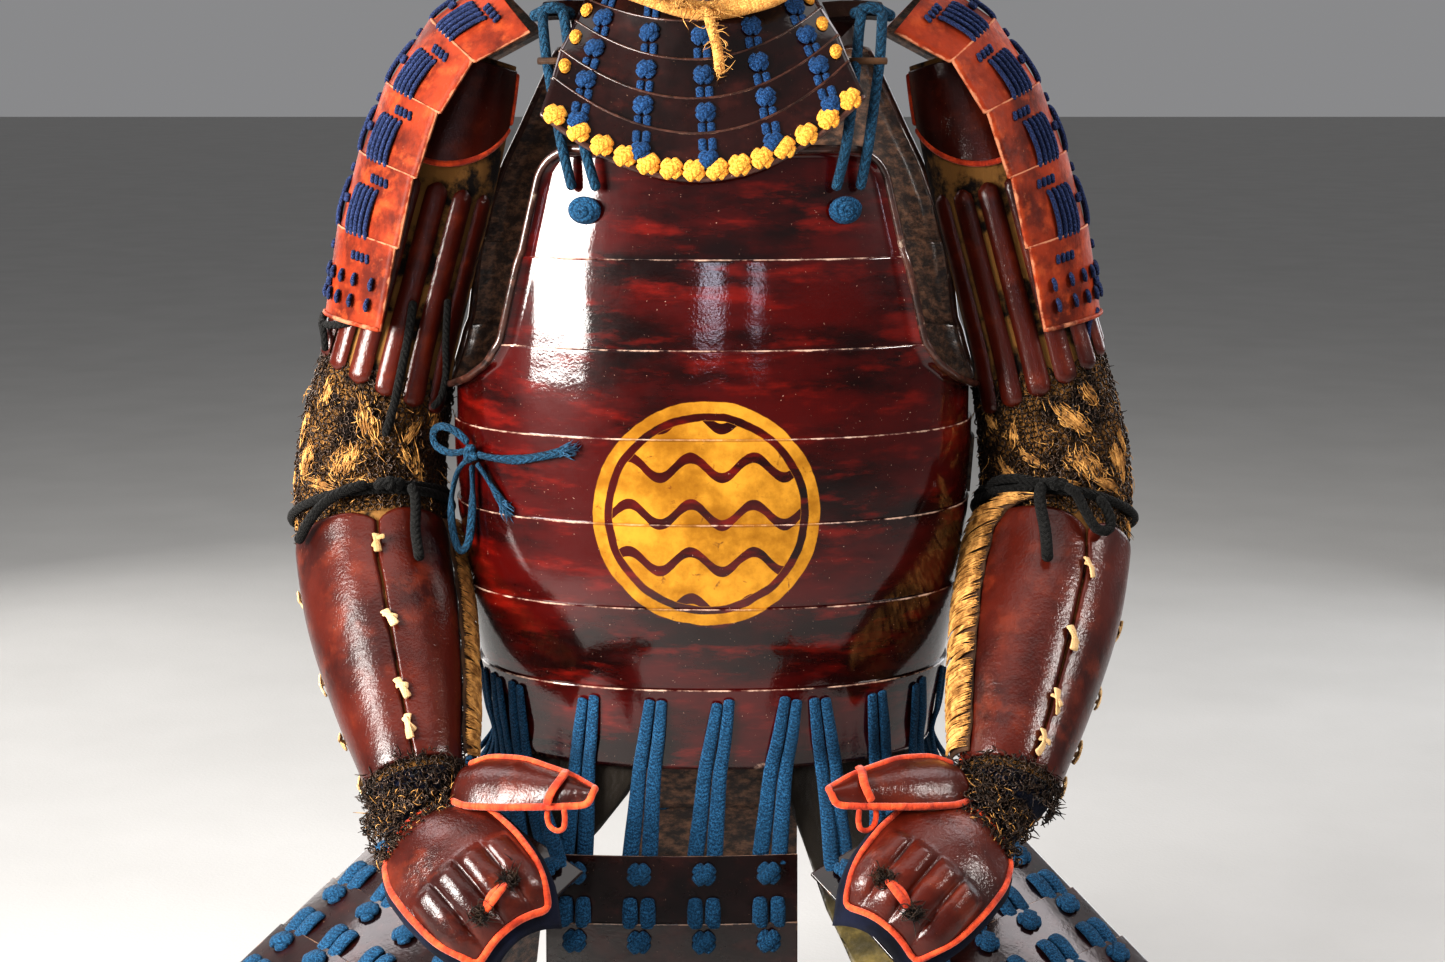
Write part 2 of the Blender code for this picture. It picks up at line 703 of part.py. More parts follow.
def helmet_point(degrees, half_width, half_depth, height, proud=0.0):
    """A point round the head, degrees from the back."""
    angle = math.radians(degrees)
    return Vector((
        (half_width + proud) * math.sin(angle),
        HELMET_CENTRE + (half_depth + proud) * math.cos(angle),
        height,
    ))


def make_helmet(materials, group):
    columns = HELMET_RIBS * 2
    rows = []
    for rise, share in HELMET_PROFILE:
        rows.append([
            helmet_point(
                360 * i / columns, HELMET_HALF_WIDTH * share, HELMET_HALF_DEPTH * share,
                HELMET_RIM + rise, RIB_PROUD * (i % 2) * share,
            )
            for i in range(columns)
        ])
    bowl = wall_through(
        "helmet_bowl", rows, PLATE, materials["dark_lacquer"], (0, HELMET_CENTRE, 0.2), closed=True
    )
    brow = [
        [
            helmet_point(180 + angle, HELMET_HALF_WIDTH + out, HELMET_HALF_DEPTH + out, HELMET_RIM - drop)
            for angle in spread(-VISOR_SPREAD, VISOR_SPREAD, 12)
        ]
        for out, drop in VISOR_ROWS
    ]
    visor = wall_through("helmet_visor", brow, THIN_PLATE, materials["dark_lacquer"], (0, -0.10, 0.02))
    columns = spread(-NECK_SPREAD, NECK_SPREAD, 16)
    rows = lamed_wall_rows(
        NECK_LAMES,
        lambda row, proud: [helmet_point(a, row[1], row[2], row[0], proud) for a in columns],
    )
    guard = wall_through(
        "neck_guard", rows, THIN_PLATE, materials["dark_lacquer"], (0, HELMET_CENTRE, 0.10)
    )
    for piece in (bowl, visor, guard):
        piece.parent = group


def make_chin_cord(materials, group):
    """The helmet's padded cord, under the mask's chin, and its frayed end."""
    line = cord(
        "chin_cord", smooth_route(CHIN_CORD_ROUTE, 24), CHIN_CORD_RADIUS, materials["yellow_cord"]
    )
    end = cord(
        "chin_cord_end", smooth_route(CHIN_END_ROUTE, 8), CHIN_END_RADIUS, materials["yellow_cord"]
    )
    line.parent = group
    end.parent = group


def shoulder_guard_row(row, proud, side, columns):
    middle_x, middle_z, edge_x, edge_z = row
    return [
        Vector((
            side * (middle_x + proud - (middle_x - edge_x) * v * v),
            SHOULDER_GUARD_HALF * v,
            middle_z + 0.3 * proud - (middle_z - edge_z) * v * v,
        ))
        for v in columns
    ]


def make_shoulder_guards(materials):
    columns = spread(-1, 1, 8)
    for side, word in SIDES:
        rows = lamed_wall_rows(
            SHOULDER_GUARD_LAMES, lambda row, proud: shoulder_guard_row(row, proud, side, columns)
        )
        wall_through(
            f"shoulder_guard_{word}", rows, THIN_PLATE, materials["orange_lacquer"],
            (0.10 * side, 0, -0.2),
        )
        route = [mirrored(point, side) for point in GUARD_CORD_ROUTE]
        cord(
            f"shoulder_guard_cord_{word}", smooth_route(route, 10), GUARD_CORD_RADIUS,
            materials["blue_cord"],
        )


def arm_frame(at, side):
    """Centre, forward, outward and radius of the sleeve, at counted in rows of ARM_RINGS."""
    x, y, z, radius = smooth_between(ARM_RINGS, at)
    ahead = smooth_between(ARM_RINGS, min(at + 0.05, len(ARM_RINGS) - 1))
    behind = smooth_between(ARM_RINGS, max(at - 0.05, 0))
    along = Vector([a - b for a, b in zip(ahead[:3], behind[:3])]).normalized()
    forward = Vector((0, -1, 0))
    forward = (forward - along * forward.dot(along)).normalized()
    outward = along.cross(forward)
    if outward.x < 0:
        outward = -outward
    return mirrored((x, y, z), side), mirrored(forward, side), mirrored(outward, side), radius


def arm_point(at, degrees, side, off=0.0):
    """A point off the sleeve's surface, degrees round from its front towards the outside."""
    centre, forward, outward, radius = arm_frame(at, side)
    angle = math.radians(degrees)
    return centre + (forward * math.cos(angle) + outward * math.sin(angle)) * (radius + off)


def make_sleeves(materials):
    for side, word in SIDES:
        rows = [
            [arm_point(at, 360 * i / SLEEVE_SIDES, side) for i in range(SLEEVE_SIDES)]
            for at in spread(0, len(ARM_RINGS) - 1, SLEEVE_STEPS)
        ]
        wall_through(
            f"sleeve_{word}", rows, CLOTH, materials["sleeve_cloth"], (0.235 * side, -0.05, -0.30),
            closed=True,
        )


def arm_plate(name, side, tops, bottoms, angles, lift, material, thickness=PLATE, steps=5):
    """A plate on the sleeve: for each angle the stretch of arm that it covers and how proud it is."""
    rows = [
        [
            arm_point(top + (bottom - top) * share, angle, side, thickness + PLATE_LIFT + rise)
            for top, bottom, angle, rise in zip(tops, bottoms, angles, lift)
        ]
        for share in spread(0, 1, steps)
    ]
    middle = (angles[0] + angles[-1]) / 2
    at = (tops[0] + bottoms[0]) / 2
    inner = arm_point(at, middle, side, -0.045)
    return wall_through(name, rows, thickness, material, inner)


def make_arm_plates(materials):
    for side, word in SIDES:
        angles = spread(*CAP_ANGLES, 8)
        tops = [CAP_TOP] * len(angles)
        bottoms = [CAP_EDGE + CAP_POINT * math.cos(math.radians(a - CAP_MIDDLE) * 0.9) for a in angles]
        arm_plate(f"shoulder_cap_{word}", side, tops, bottoms, angles, [0.0] * len(angles),
                  materials["russet_lacquer"], THIN_PLATE, 3)

        angles = spread(*SPLINT_ANGLES, SPLINT_RIBS * 4)
        lift = [SPLINT_PROUD * abs(math.sin(math.pi * i / 4)) for i in range(len(angles))]
        tops = [SPLINT_TOP] * len(angles)
        bottoms = [SPLINT_FOOT - SPLINT_SKEW * a for a in angles]
        arm_plate(f"upper_splints_{word}", side, tops, bottoms, angles, lift,
                  materials["russet_lacquer"], THIN_PLATE, 2)

        inner, groove, outer = FOREARM_ANGLES[side]
        stretches = (
            ("forearm_inner", inner, groove - PLATE_SEAM / 2, 6),
            ("forearm_outer", groove + PLATE_SEAM / 2, outer, 6),
            ("forearm_back", outer + PLATE_SEAM, BACK_PLATE_END, 5),
        )
        for name, low, high, count in stretches:
            angles = spread(low, high, count)
            crown = [4 * i * (count - i) / count**2 for i in range(count + 1)]
            tops = [FOREARM_TOP + FOREARM_NOTCH * (1 - c) ** 2 for c in crown]
            bottoms = [FOREARM_BOTTOM] * len(angles)
            arm_plate(f"{name}_{word}", side, tops, bottoms, angles,
                      [FOREARM_CROWN * c for c in crown], materials["russet_lacquer"])


def hand_axes(side):
    fingers = mirrored(HAND_FINGERS, side).normalized()
    thumbward = mirrored(HAND_THUMBWARD, side)
    thumbward = (thumbward - fingers * thumbward.dot(fingers)).normalized()
    face = fingers.cross(thumbward)
    if face.z < 0:
        face = -face
    return Vector(HAND_CENTRES[side]), fingers, thumbward, face


def hand_point(along, across, side, off=0.0, grow=0.0, knuckles=True):
    """A point of the hand guard: along the fingers, across as a share of the half width."""
    centre, fingers, thumbward, face = hand_axes(side)
    half_width, crown = between(HAND_OUTLINE, along)
    place = across * (half_width + grow)
    height = crown - HAND_FALL * (place / half_width) ** 2 + off
    if knuckles and along > KNUCKLE_START:
        start = min((along - KNUCKLE_START) / KNUCKLE_RUN, 1.0)
        for knuckle in KNUCKLES:
            reach = (place - knuckle) / KNUCKLE_HALF
            if abs(reach) < 1:
                height += KNUCKLE_PROUD * start * math.sqrt(1 - reach * reach)
    return centre + fingers * along + thumbward * place + face * height


def make_hands(materials):
    hollow = Vector((0, 0, -0.03))
    plate_across, glove_across = spread(-1, 1, 16), spread(-1, 1, 8)
    for side, word in SIDES:
        centre = hand_axes(side)[0]
        rows = [[hand_point(a, c, side) for c in plate_across] for a in HAND_ROWS]
        wall_through(f"hand_plate_{word}", rows, THIN_PLATE, materials["russet_lacquer"], centre + hollow)
        rows = [
            [arm_point(at, -WRIST_SPREAD * c, side, WRIST_OFF) for c in glove_across]
            for at in WRIST_ROWS
        ]
        for along in GLOVE_ROWS:
            rows.append([
                hand_point(along, c, side, -THIN_PLATE - GLOVE_DROP, GLOVE_MARGIN, knuckles=False)
                for c in glove_across
            ])
        wall_through(f"hand_cloth_{word}", rows, CLOTH, materials["indigo_cloth"], centre + hollow)
        base, tip = Vector(THUMB_BASES[side]), mirrored(THUMB_TIP, side)
        face = mirrored(THUMB_FACE, side).normalized()
        across = (tip - base).cross(face).normalized()
        rows = []
        for share, half_width, crown in THUMB_OUTLINE:
            middle = base.lerp(tip, share) + face * crown
            rows.append([
                middle + across * half_width * c - face * THUMB_FALL * c * c for c in spread(-1, 1, 6)
            ])
        wall_through(
            f"thumb_plate_{word}", rows, THIN_PLATE, materials["russet_lacquer"],
            base.lerp(tip, 0.4) + hollow,
        )


def make_arm_ties(materials):
    """Black cords round the elbows."""
    for side, word in SIDES:
        ring = [
            arm_point(TIE_PLACE + TIE_SLANT * math.cos(math.radians(angle)), angle, side, TIE_OFF)
            for angle in range(0, 360, 18)
        ]
        cord(f"elbow_tie_{word}", ring, TIE_RADIUS, materials["black_cord"], cyclic=True)


def make_tie_ends(materials):
    """Each free end or loop of a tie leaves its knot, which lies on what it ties."""
    for name, side, radius, route in ARM_TIE_ENDS:
        points = [arm_point(at, angle, side, off) for at, angle, off in route]
        cord(name, smooth_route(points, len(route) + EXTRA_POINTS), radius, materials["black_cord"])
    for name, radius, route in SIDE_TIE_ENDS:
        points = [cuirass_point(angle, height, off) for angle, height, off in route]
        cord(name, smooth_route(points, len(route) + EXTRA_POINTS), radius, materials["blue_cord"])
    turn = Matrix.Rotation(math.radians(SIDE_KNOT_TURN), 3, "Z")
    pad("side_tie_knot", cuirass_point(*SIDE_KNOT), SIDE_KNOT_RADII, turn, materials["blue_cord"])


def angle_towards(lateral, azimuth, height):
    """The cuirass angle whose point lies this far sideways, seen from that azimuth."""
    sideways = Vector((math.cos(math.radians(azimuth)), math.sin(math.radians(azimuth)), 0))
    low, high = azimuth - 75.0, azimuth + 75.0
    for _ in range(40):
        middle = (low + high) / 2
        if cuirass_point(middle, height).dot(sideways) < lateral:
            low = middle
        else:
            high = middle
    return low


def strap_edge_points(centre, half, azimuth, height):
    """The two edges of a strap on the cuirass, far enough off it for the flat strap to clear it."""
    angles = [angle_towards(centre + edge, azimuth, height) for edge in (-half, half)]
    ends = [cuirass_point(angle, height) for angle in angles]
    sag = (cuirass_point(sum(angles) / 2, height) - (ends[0] + ends[1]) / 2).length
    lame_share = max(height - CUIRASS_BOTTOM, 0) / (CUIRASS_SEAMS[-1] - CUIRASS_BOTTOM)
    proud = PLATE + SEAM_GAP + STRAP_SAG * sag + LAME_STEP * lame_share
    return [cuirass_point(angle, height, proud) for angle in angles]


def make_skirt_panel(panel, materials):
    name, azimuth, half, x, y, z, slope, roll, pitch, straps, shift, fan, foot = panel
    turn, fall = math.radians(azimuth), math.radians(slope)
    outward = Vector((math.sin(turn), -math.cos(turn), 0))
    level = Vector((math.cos(turn), math.sin(turn), 0))
    down = outward * math.cos(fall) - Vector((0, 0, 1)) * math.sin(fall)
    face = level.cross(down)
    if face.dot(outward) + face.z < 0:
        face = -face
    tilt = math.radians(abs(roll))
    rise = 1 if azimuth > 0 else -1
    sideways = level * math.cos(tilt) + face * math.sin(tilt) * rise
    face = face * math.cos(tilt) - level * math.sin(tilt) * rise
    top = Vector((x, y, z))
    spacing = 2 * (half - STRAP_MARGIN) / (straps - 1)
    centres = [spacing * (i - (straps - 1) / 2) for i in range(straps)]
    columns = [-half]
    for centre in centres:
        columns += [centre - BRAID_HALF, centre + BRAID_HALF]
    columns.append(half)

    def panel_point(across, down_by, proud):
        return top + sideways * across + down * down_by + face * (proud - PANEL_CURVE * across * across)

    edges = [pitch * i for i in range(SKIRT_LAMES + 1)]
    bm = bmesh.new()
    grid = loft(bm, [
        [panel_point(column, place, proud) for column in columns] for place, proud in lame_rows(edges)
    ])
    for number, centre in enumerate(centres):
        pair = grid[0][2 * number + 1], grid[0][2 * number + 2]
        above = top.dot(level) + centre
        at_top = top.dot(level) + centre * fan + shift
        at_foot = above + (at_top - above) * foot
        rows = [
            strap_edge_points(at_foot, BRAID_FOOT_HALF, azimuth, CUIRASS_BOTTOM),
            strap_edge_points(at_top, BRAID_TOP_HALF, azimuth, STRAP_TOP),
        ]
        rows.insert(0, [(pair[i].co + rows[0][i]) / 2 for i in (0, 1)])
        for points in rows:
            verts = [bm.verts.new(point) for point in points]
            bm.faces.new((verts[0], pair[0], pair[1], verts[1]))
            pair = verts
    bm.normal_update()
    finish_wall(name, bm, PLATE, materials["dark_lacquer"], Vector((x * 0.3, y * 0.3, z - 0.12)))


def belt_point(angle, height, off=0.0):
    return cuirass_point(angle, height, off - BELT_INSET)


def make_belt(materials):
    """The thigh aprons' belt, inside the foot of the cuirass."""
    rows = [
        [belt_point(angle, height) for angle in range(0, 360, 15)] for height in (BELT_TOP, BELT_FOOT)
    ]
    wall_through("apron_belt", rows, CLOTH, materials["olive_cloth"], (0, 0, BELT_FOOT), closed=True)


def apron_point(along, u, side):
    """A point of a thigh apron: metres along the thigh from the belt, and a share of its half width."""
    turn = math.radians(APRON_AZIMUTH)
    outward = Vector((math.sin(turn) * side, -math.cos(turn), 0))
    sideways = Vector((math.cos(turn) * side, math.sin(turn), 0))
    slope = math.radians(APRON_SLOPE)
    flat = min(along, APRON_LENGTH)
    place = Vector((*APRON_STARTS[side], APRON_TOP)) + outward * flat * math.cos(slope)
    drop = flat * math.sin(slope)
    if along > APRON_LENGTH:
        bend = min((along - APRON_LENGTH) / KNEE_RADIUS, math.radians(KNEE_SLOPE) - slope)
        rest = along - APRON_LENGTH - bend * KNEE_RADIUS
        reach = KNEE_RADIUS * (math.sin(slope + bend) - math.sin(slope))
        place += outward * (reach + rest * math.cos(slope + bend))
        drop += KNEE_RADIUS * (math.cos(slope) - math.cos(slope + bend)) + rest * math.sin(slope + bend)
    flare = APRON_WAIST_SHARE + (1 - APRON_WAIST_SHARE) * min(along / APRON_FLARE_LENGTH, 1)
    place += sideways * u * (APRON_INNER_HALF * flare if u < 0 else APRON_OUTER_HALF)
    place.z -= drop + APRON_DROP * u * u
    if along <= APRON_HANG:
        turn = (APRON_AZIMUTH + APRON_TURN * u) * side
        return belt_point(turn, APRON_SEAM - APRON_TUCK * along, APRON_OFF)
    return place


def make_aprons(materials):
    for side, word in SIDES:
        rows = [[apron_point(along, u, side) for u in spread(-1, 1, 8)] for along in APRON_ROWS]
        under = (0.15 * side, -0.1, -0.9)
        wall_through(f"thigh_apron_{word}", rows, CLOTH, materials["olive_cloth"], under)


def main():
    materials = make_materials()
    make_cuirass(materials)
    make_side_hinge(materials)
    make_shoulder_straps(materials)
    make_chest_cords(materials)
    group = head_group()
    make_throat_guard(materials, group)
    make_mask(materials, group)
    make_helmet(materials, group)
    make_chin_cord(materials, group)
    make_shoulder_guards(materials)
    make_sleeves(materials)
    make_arm_plates(materials)
    make_hands(materials)
    make_arm_ties(materials)
    make_tie_ends(materials)
    for panel in SKIRT_PANELS:
        make_skirt_panel(panel, materials)
    make_belt(materials)
    make_aprons(materials)


clear_scene()
ARMOUR = bpy.data.collections.new("samurai_armour")
bpy.context.scene.collection.children.link(ARMOUR)
main()
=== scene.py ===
"""The looks of a worn suit of samurai armour: lacquered plates, laced skirt and shoulder guards,
mailed sleeves, corded ties. Metres, +Z up, the front faces -Y, the wearer's left is +X."""

import math

import bpy
import numpy as np
from mathutils import Euler, Matrix, Vector


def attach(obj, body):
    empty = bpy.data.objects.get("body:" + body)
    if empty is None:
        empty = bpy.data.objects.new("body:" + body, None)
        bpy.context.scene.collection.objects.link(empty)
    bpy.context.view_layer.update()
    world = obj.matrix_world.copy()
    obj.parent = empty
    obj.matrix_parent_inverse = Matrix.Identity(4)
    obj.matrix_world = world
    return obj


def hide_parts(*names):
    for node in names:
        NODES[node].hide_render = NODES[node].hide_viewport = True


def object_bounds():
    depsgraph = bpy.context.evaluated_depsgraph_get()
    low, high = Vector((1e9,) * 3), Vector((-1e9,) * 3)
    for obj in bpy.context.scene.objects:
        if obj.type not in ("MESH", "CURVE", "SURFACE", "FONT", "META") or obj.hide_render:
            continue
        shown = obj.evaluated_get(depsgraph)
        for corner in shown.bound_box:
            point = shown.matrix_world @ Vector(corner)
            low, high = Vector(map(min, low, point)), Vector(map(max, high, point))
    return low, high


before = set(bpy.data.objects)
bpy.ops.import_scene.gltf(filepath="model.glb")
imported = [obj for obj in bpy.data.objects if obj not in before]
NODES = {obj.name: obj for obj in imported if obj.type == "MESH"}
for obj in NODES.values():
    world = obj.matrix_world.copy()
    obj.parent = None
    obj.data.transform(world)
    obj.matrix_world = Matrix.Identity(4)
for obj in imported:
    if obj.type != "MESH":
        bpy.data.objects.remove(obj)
CAD_LOW, CAD_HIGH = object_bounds()
RNG = np.random.default_rng(11)
SIDES = ((1, "left"), (-1, "right"))

# Walls
PLATE, THIN_PLATE, CLOTH, LAME_STEP = 0.0024, 0.002, 0.0022, 0.0022

# Cuirass
CUIRASS_TOP, BACK_TOP, CUIRASS_BOTTOM = -0.087, -0.02, -0.522
CUIRASS_SEAMS = (-0.161, -0.2227, -0.2836, -0.343, -0.4027, -0.4622)
ROUNDNESS, RIM_FLARE, SIDE_ANGLE = 0.87, 0.006, 89.9
KNOT_HEIGHT, KNOT_X = -0.1285, {1: 0.09, -1: -0.0865}
# height, half width, front depth, back depth
CUIRASS_SECTIONS = np.array((
    (-0.522, 0.162, 0.122, 0.108), (-0.442, 0.176, 0.132, 0.107), (-0.388, 0.184, 0.137, 0.111),
    (-0.313, 0.189, 0.137, 0.118), (-0.26, 0.187, 0.135, 0.122), (-0.16, 0.178, 0.128, 0.12),
    (-0.087, 0.165, 0.118, 0.112), (-0.02, 0.15, 0.1, 0.095)))
# height, angle from the middle to the armhole's edge
FRONT_EDGE = np.array((
    (-0.262, 89.9), (-0.257, 74.0), (-0.249, 62.0), (-0.237, 53.5), (-0.2227, 49.5),
    (-0.161, 43.8), (-0.104, 41.0), (-0.094, 38.5), (-0.087, 33.0)))
BACK_EDGE = np.array((
    (-0.262, 89.9), (-0.257, 84.0), (-0.249, 80.0), (-0.237, 76.0), (-0.2227, 73.0),
    (-0.161, 69.0), (-0.12, 66.0), (-0.087, 58.0), (-0.02, 46.0)))
# Cords of the chest, from the knot up
CHEST_CORD_SHIFT = {1: (0.0, 0.0, 0.0), -1: (0.0055, -0.0022, 0.0)}
CHEST_CORD_INNER = (
    (0.084, -0.1178, -0.115), (0.088, -0.1188, -0.099), (0.0915, -0.1165, -0.082),
    (0.0955, -0.102, -0.056), (0.099, -0.089, -0.028), (0.101, -0.08, -0.008),
    (0.103, -0.0737, 0.0045), (0.105, -0.0625, 0.009))
CHEST_CORD_OUTER = (
    (0.101, -0.1098, -0.115), (0.104, -0.1108, -0.099), (0.107, -0.109, -0.082),
    (0.111, -0.098, -0.056), (0.115, -0.088, -0.028), (0.1165, -0.081, -0.009),
    (0.117, -0.0744, 0.004), (0.115, -0.0632, 0.0087))

# How far the bar across their tops stands off, and the row where the band binds them
CHEST_BAR_LIFT = np.array((
    (0, -0.004, -0.006), (0, -0.01, -0.002), (0, -0.012, 0.0), (0, -0.01, -0.002), (0, -0.004, -0.007)))
CHEST_BAND_ROW = 4

# Head group
HEAD_TILT, HEAD_SHIFT = -3.0, -0.005
# height, half width, front, how far back the ends sit, how far up the ends rise
THROAT_LAMES = (
    (0.024, 0.07, -0.098, 0.046, 0.01), (-0.001, 0.078, -0.106, 0.04, 0.02),
    (-0.027, 0.085, -0.114, 0.034, 0.031), (-0.053, 0.0955, -0.121, 0.027, 0.038),
    (-0.076, 0.101, -0.1265, 0.019, 0.043), (-0.107, 0.11, -0.132, 0.011, 0.05))
THROAT_COLUMNS = (-0.8, -0.41, 0.02, 0.44, 0.82)
CHIN_CORD_RADIUS = 0.0066
CHIN_CORD_ROUTE = (
    (-0.095, -0.045, 0.172), (-0.093, -0.06, 0.105), (-0.086, -0.08, 0.064),
    (-0.064, -0.108, 0.033), (-0.033, -0.1106, 0.017), (0.0, -0.1108, 0.006),
    (0.033, -0.1106, 0.008), (0.062, -0.106, 0.018), (0.086, -0.082, 0.05),
    (0.093, -0.06, 0.105), (0.095, -0.045, 0.172))
CHIN_END_ROUTE = (
    (0.006, -0.1212, 0.008), (0.0085, -0.1238, -0.004), (0.012, -0.1232, -0.02),
    (0.013, -0.1255, -0.037))
HELMET_CENTRE, HELMET_RIM, HELMET_HALF_WIDTH, HELMET_HALF_DEPTH = -0.022, 0.165, 0.107, 0.128
HELMET_PROFILE = (
    (0.0, 1.0), (0.04, 0.98), (0.078, 0.88), (0.108, 0.68), (0.128, 0.4), (0.136, 0.11))
NECK_LAMES = (
    (0.169, 0.1114, 0.1324), (0.134, 0.123, 0.144), (0.104, 0.137, 0.158),
    (0.072, 0.153, 0.174))
NECK_SPREAD = 112.0

# Shoulder guards: middle x, middle z, edge x, edge z
GUARD_HALF = 0.074
GUARD_LAMES = (
    (0.16, 0.03, 0.126, -0.008), (0.2005, 0.002, 0.164, -0.028),
    (0.2335, -0.043, 0.189, -0.063), (0.254, -0.092, 0.207, -0.108),
    (0.271, -0.145, 0.2205, -0.157), (0.284, -0.21, 0.235, -0.2165))
# Bundles: centre from front to back, strands. A strand: share down the lame, height off it.
# Stitches: centre, share down the lame, strands
GUARD_BUNDLES = ((-0.6, 5), (-0.02, 3), (0.55, 5))
GUARD_STRAND = ((0.36, 0.0012), (0.44, 0.0034), (0.75, 0.004), (0.96, 0.0026), (1.04, 0.0004))
GUARD_STITCHES = ((-0.8, 0.24, 4), (-0.3, 0.62, 2), (-0.02, 0.24, 2), (0.26, 0.62, 2), (0.8, 0.24, 4))
GUARD_CORD_ROUTE = (
    (0.101, 0.002, 0.0208), (0.115, 0.001, 0.0297), (0.138, 0.0, 0.038),
    (0.16, 0.0, 0.0343), (0.168, 0.0, 0.0288))

# Sleeves: x, y, z and radius along the arm
ARM_RINGS = (
    (0.172, 0.004, -0.024, 0.031), (0.183, 0.002, -0.062, 0.037), (0.201, 0.001, -0.115, 0.043),
    (0.218, 0.0, -0.175, 0.044), (0.235, 0.0, -0.235, 0.046), (0.247, -0.001, -0.285, 0.05),
    (0.253, -0.005, -0.325, 0.0525), (0.251, -0.019, -0.36, 0.053), (0.244, -0.045, -0.395, 0.053),
    (0.234, -0.077, -0.426, 0.0515), (0.224, -0.108, -0.455, 0.0465), (0.214, -0.139, -0.483, 0.04),
    (0.206, -0.166, -0.505, 0.033), (0.198, -0.188, -0.529, 0.0275))
ARM_END = len(ARM_RINGS) - 1
SPLINTS = 7
SPLINT_ANGLES, SPLINT_TOP, SPLINT_FOOT, SPLINT_SKEW = (-70.0, 104.0), 1.95, 4.55, 0.0035
FOREARM_TOP, FOREARM_BOTTOM, FOREARM_NOTCH, FOREARM_CROWN = 7.45, 12.35, 0.3, 0.0022
FOREARM_ANGLES = {1: (-90.0, 14.0, 92.0), -1: (-88.0, -16.0, 92.0)}
PLATE_SEAM, BACK_PLATE_END, PLATE_LIFT = 1.6, 168.0, 0.001
TIE_RADIUS, TIE_PLACE, TIE_SLANT = 0.0042, 6.9, 0.1

# Mail and frayed silk
RING_PITCH, RING_RADIUS, RING_WIRE = 0.0048, 0.0023, 0.00062
THIRDS = (0, 2.094, 4.189)
# place along the arm, angle round it, lean, length, width, threads
SILK_PATCHES = (
    (4.75, 40.0, 10.0, 0.02, 0.009, 70), (5.05, 8.0, 32.0, 0.032, 0.01, 120),
    (5.15, -32.0, -20.0, 0.022, 0.006, 50), (5.45, 62.0, 5.0, 0.024, 0.008, 70),
    (5.95, 50.0, -6.0, 0.03, 0.011, 120), (6.0, 10.0, 12.0, 0.026, 0.018, 170),
    (5.75, -30.0, 40.0, 0.024, 0.006, 60), (6.15, -46.0, 25.0, 0.028, 0.007, 70),
    (6.55, 34.0, 70.0, 0.028, 0.007, 70), (6.75, -4.0, 80.0, 0.024, 0.006, 60),
    (6.7, -44.0, 65.0, 0.022, 0.008, 70), (6.4, 82.0, 10.0, 0.024, 0.008, 60),
    (4.85, -58.0, 15.0, 0.02, 0.007, 50), (7.15, 70.0, 60.0, 0.018, 0.006, 50),
)

# Loose floss: places along the arm, angles, threads, height off it, stray, length, radius, curl
FLOSS_BANDS = (
    ((4.3, 7.5), (-112, 118), 90, 0.0015, 0.9, 0.005, 0.00036, 0.9),
    ((12.25, 13.0), (-100, 110), 420, 0.005, 1.4, 0.0044, 0.00055, 1.1),
)

# Leather ties: angle (none is the groove between the front plates), places along the arm
LEATHER_TIES = {
    1: ((None, (8.55, 9.8, 11.1, 11.95)), (92.0, (8.6, 9.95, 11.1, 12.05))),
    -1: ((None, (8.2, 9.7, 11.1, 11.95)), (92.0, (8.15, 9.75, 11.0, 12.05))),
}
# Each tie's two strips: mean and spread of the turn, ranges of the half length and half width
LEATHER_STRIPS = (
    ((1.3, 0.22), (0.008, 0.0105), (0.0026, 0.0034)), ((0.35, 0.4), (0.004, 0.0056), (0.0018, 0.0026)))
# The silk strips of the forearms: (place, middle angle) rows, half width in degrees, height off the
# sleeve at the plate's side and at the far side
SILK_STRIPS = {
    1: (((7.22, -28.0), (7.32, -48.0), (7.5, -64.0), (7.9, -76.0), (8.6, -82.0), (12.25, -84.0)),
        19.0, 0.0062, 0.0095),
    -1: (((7.5, -84.0), (7.9, -92.0), (8.6, -94.0), (12.2, -94.0)), 13.0, 0.0062, 0.0105),
}

# Hands
HAND_CENTRES = {1: (0.146, -0.262, -0.548), -1: (-0.165, -0.262, -0.55)}
HAND_FINGERS, HAND_THUMBWARD = (-0.59, -0.71, -0.37), (-0.675, 0.467, 0.571)
# along the fingers, half width, height of the crown
HAND_OUTLINE = np.array((
    (-0.062, 0.019, 0.002), (-0.056, 0.024, 0.005), (-0.044, 0.035, 0.01),
    (-0.022, 0.0425, 0.015), (0.004, 0.044, 0.016), (0.028, 0.0425, 0.012),
    (0.046, 0.037, 0.003), (0.056, 0.029, -0.006), (0.066, 0.021, -0.015)))
HAND_FALL = 0.013
KNUCKLES = (-0.03, -0.0105, 0.0105, 0.03)
KNUCKLE_HALF, KNUCKLE_PROUD, KNUCKLE_START, KNUCKLE_RUN = 0.0096, 0.0066, 0.0, 0.009
GLOVE_DROP, GLOVE_MARGIN, WRIST_SPREAD, GLOVE_WRIST = 0.0026, 0.005, 60.0, (12.5, 12.65, 12.8, 13.0)
THUMB_BASES = {1: (0.17, -0.204, -0.5045), -1: (-0.1715, -0.205, -0.5048)}
THUMB_TIP, THUMB_FACE, THUMB_FALL = (0.078, -0.252, -0.499), (0.05, -0.62, 0.78), 0.008
# share of the length, half width, height of the crown
THUMB_OUTLINE = np.array((
    (0.0, 0.014, 0.004), (0.14, 0.021, 0.008), (0.42, 0.0205, 0.01), (0.8, 0.013, 0.006),
    (1.0, 0.006, 0.001)))

# The finger loop's ends: along and across the hand. The thumb's hanging loop: along it, up
FINGER_LOOP = ((0.0385, 0.44), (0.0455, -0.22))
THUMB_LOOP = np.array((
    (0.0, 0.0), (-0.001, -0.007), (0.0008, -0.0135), (0.006, -0.0165), (0.0112, -0.0145),
    (0.0125, -0.008), (0.0118, -0.001)))

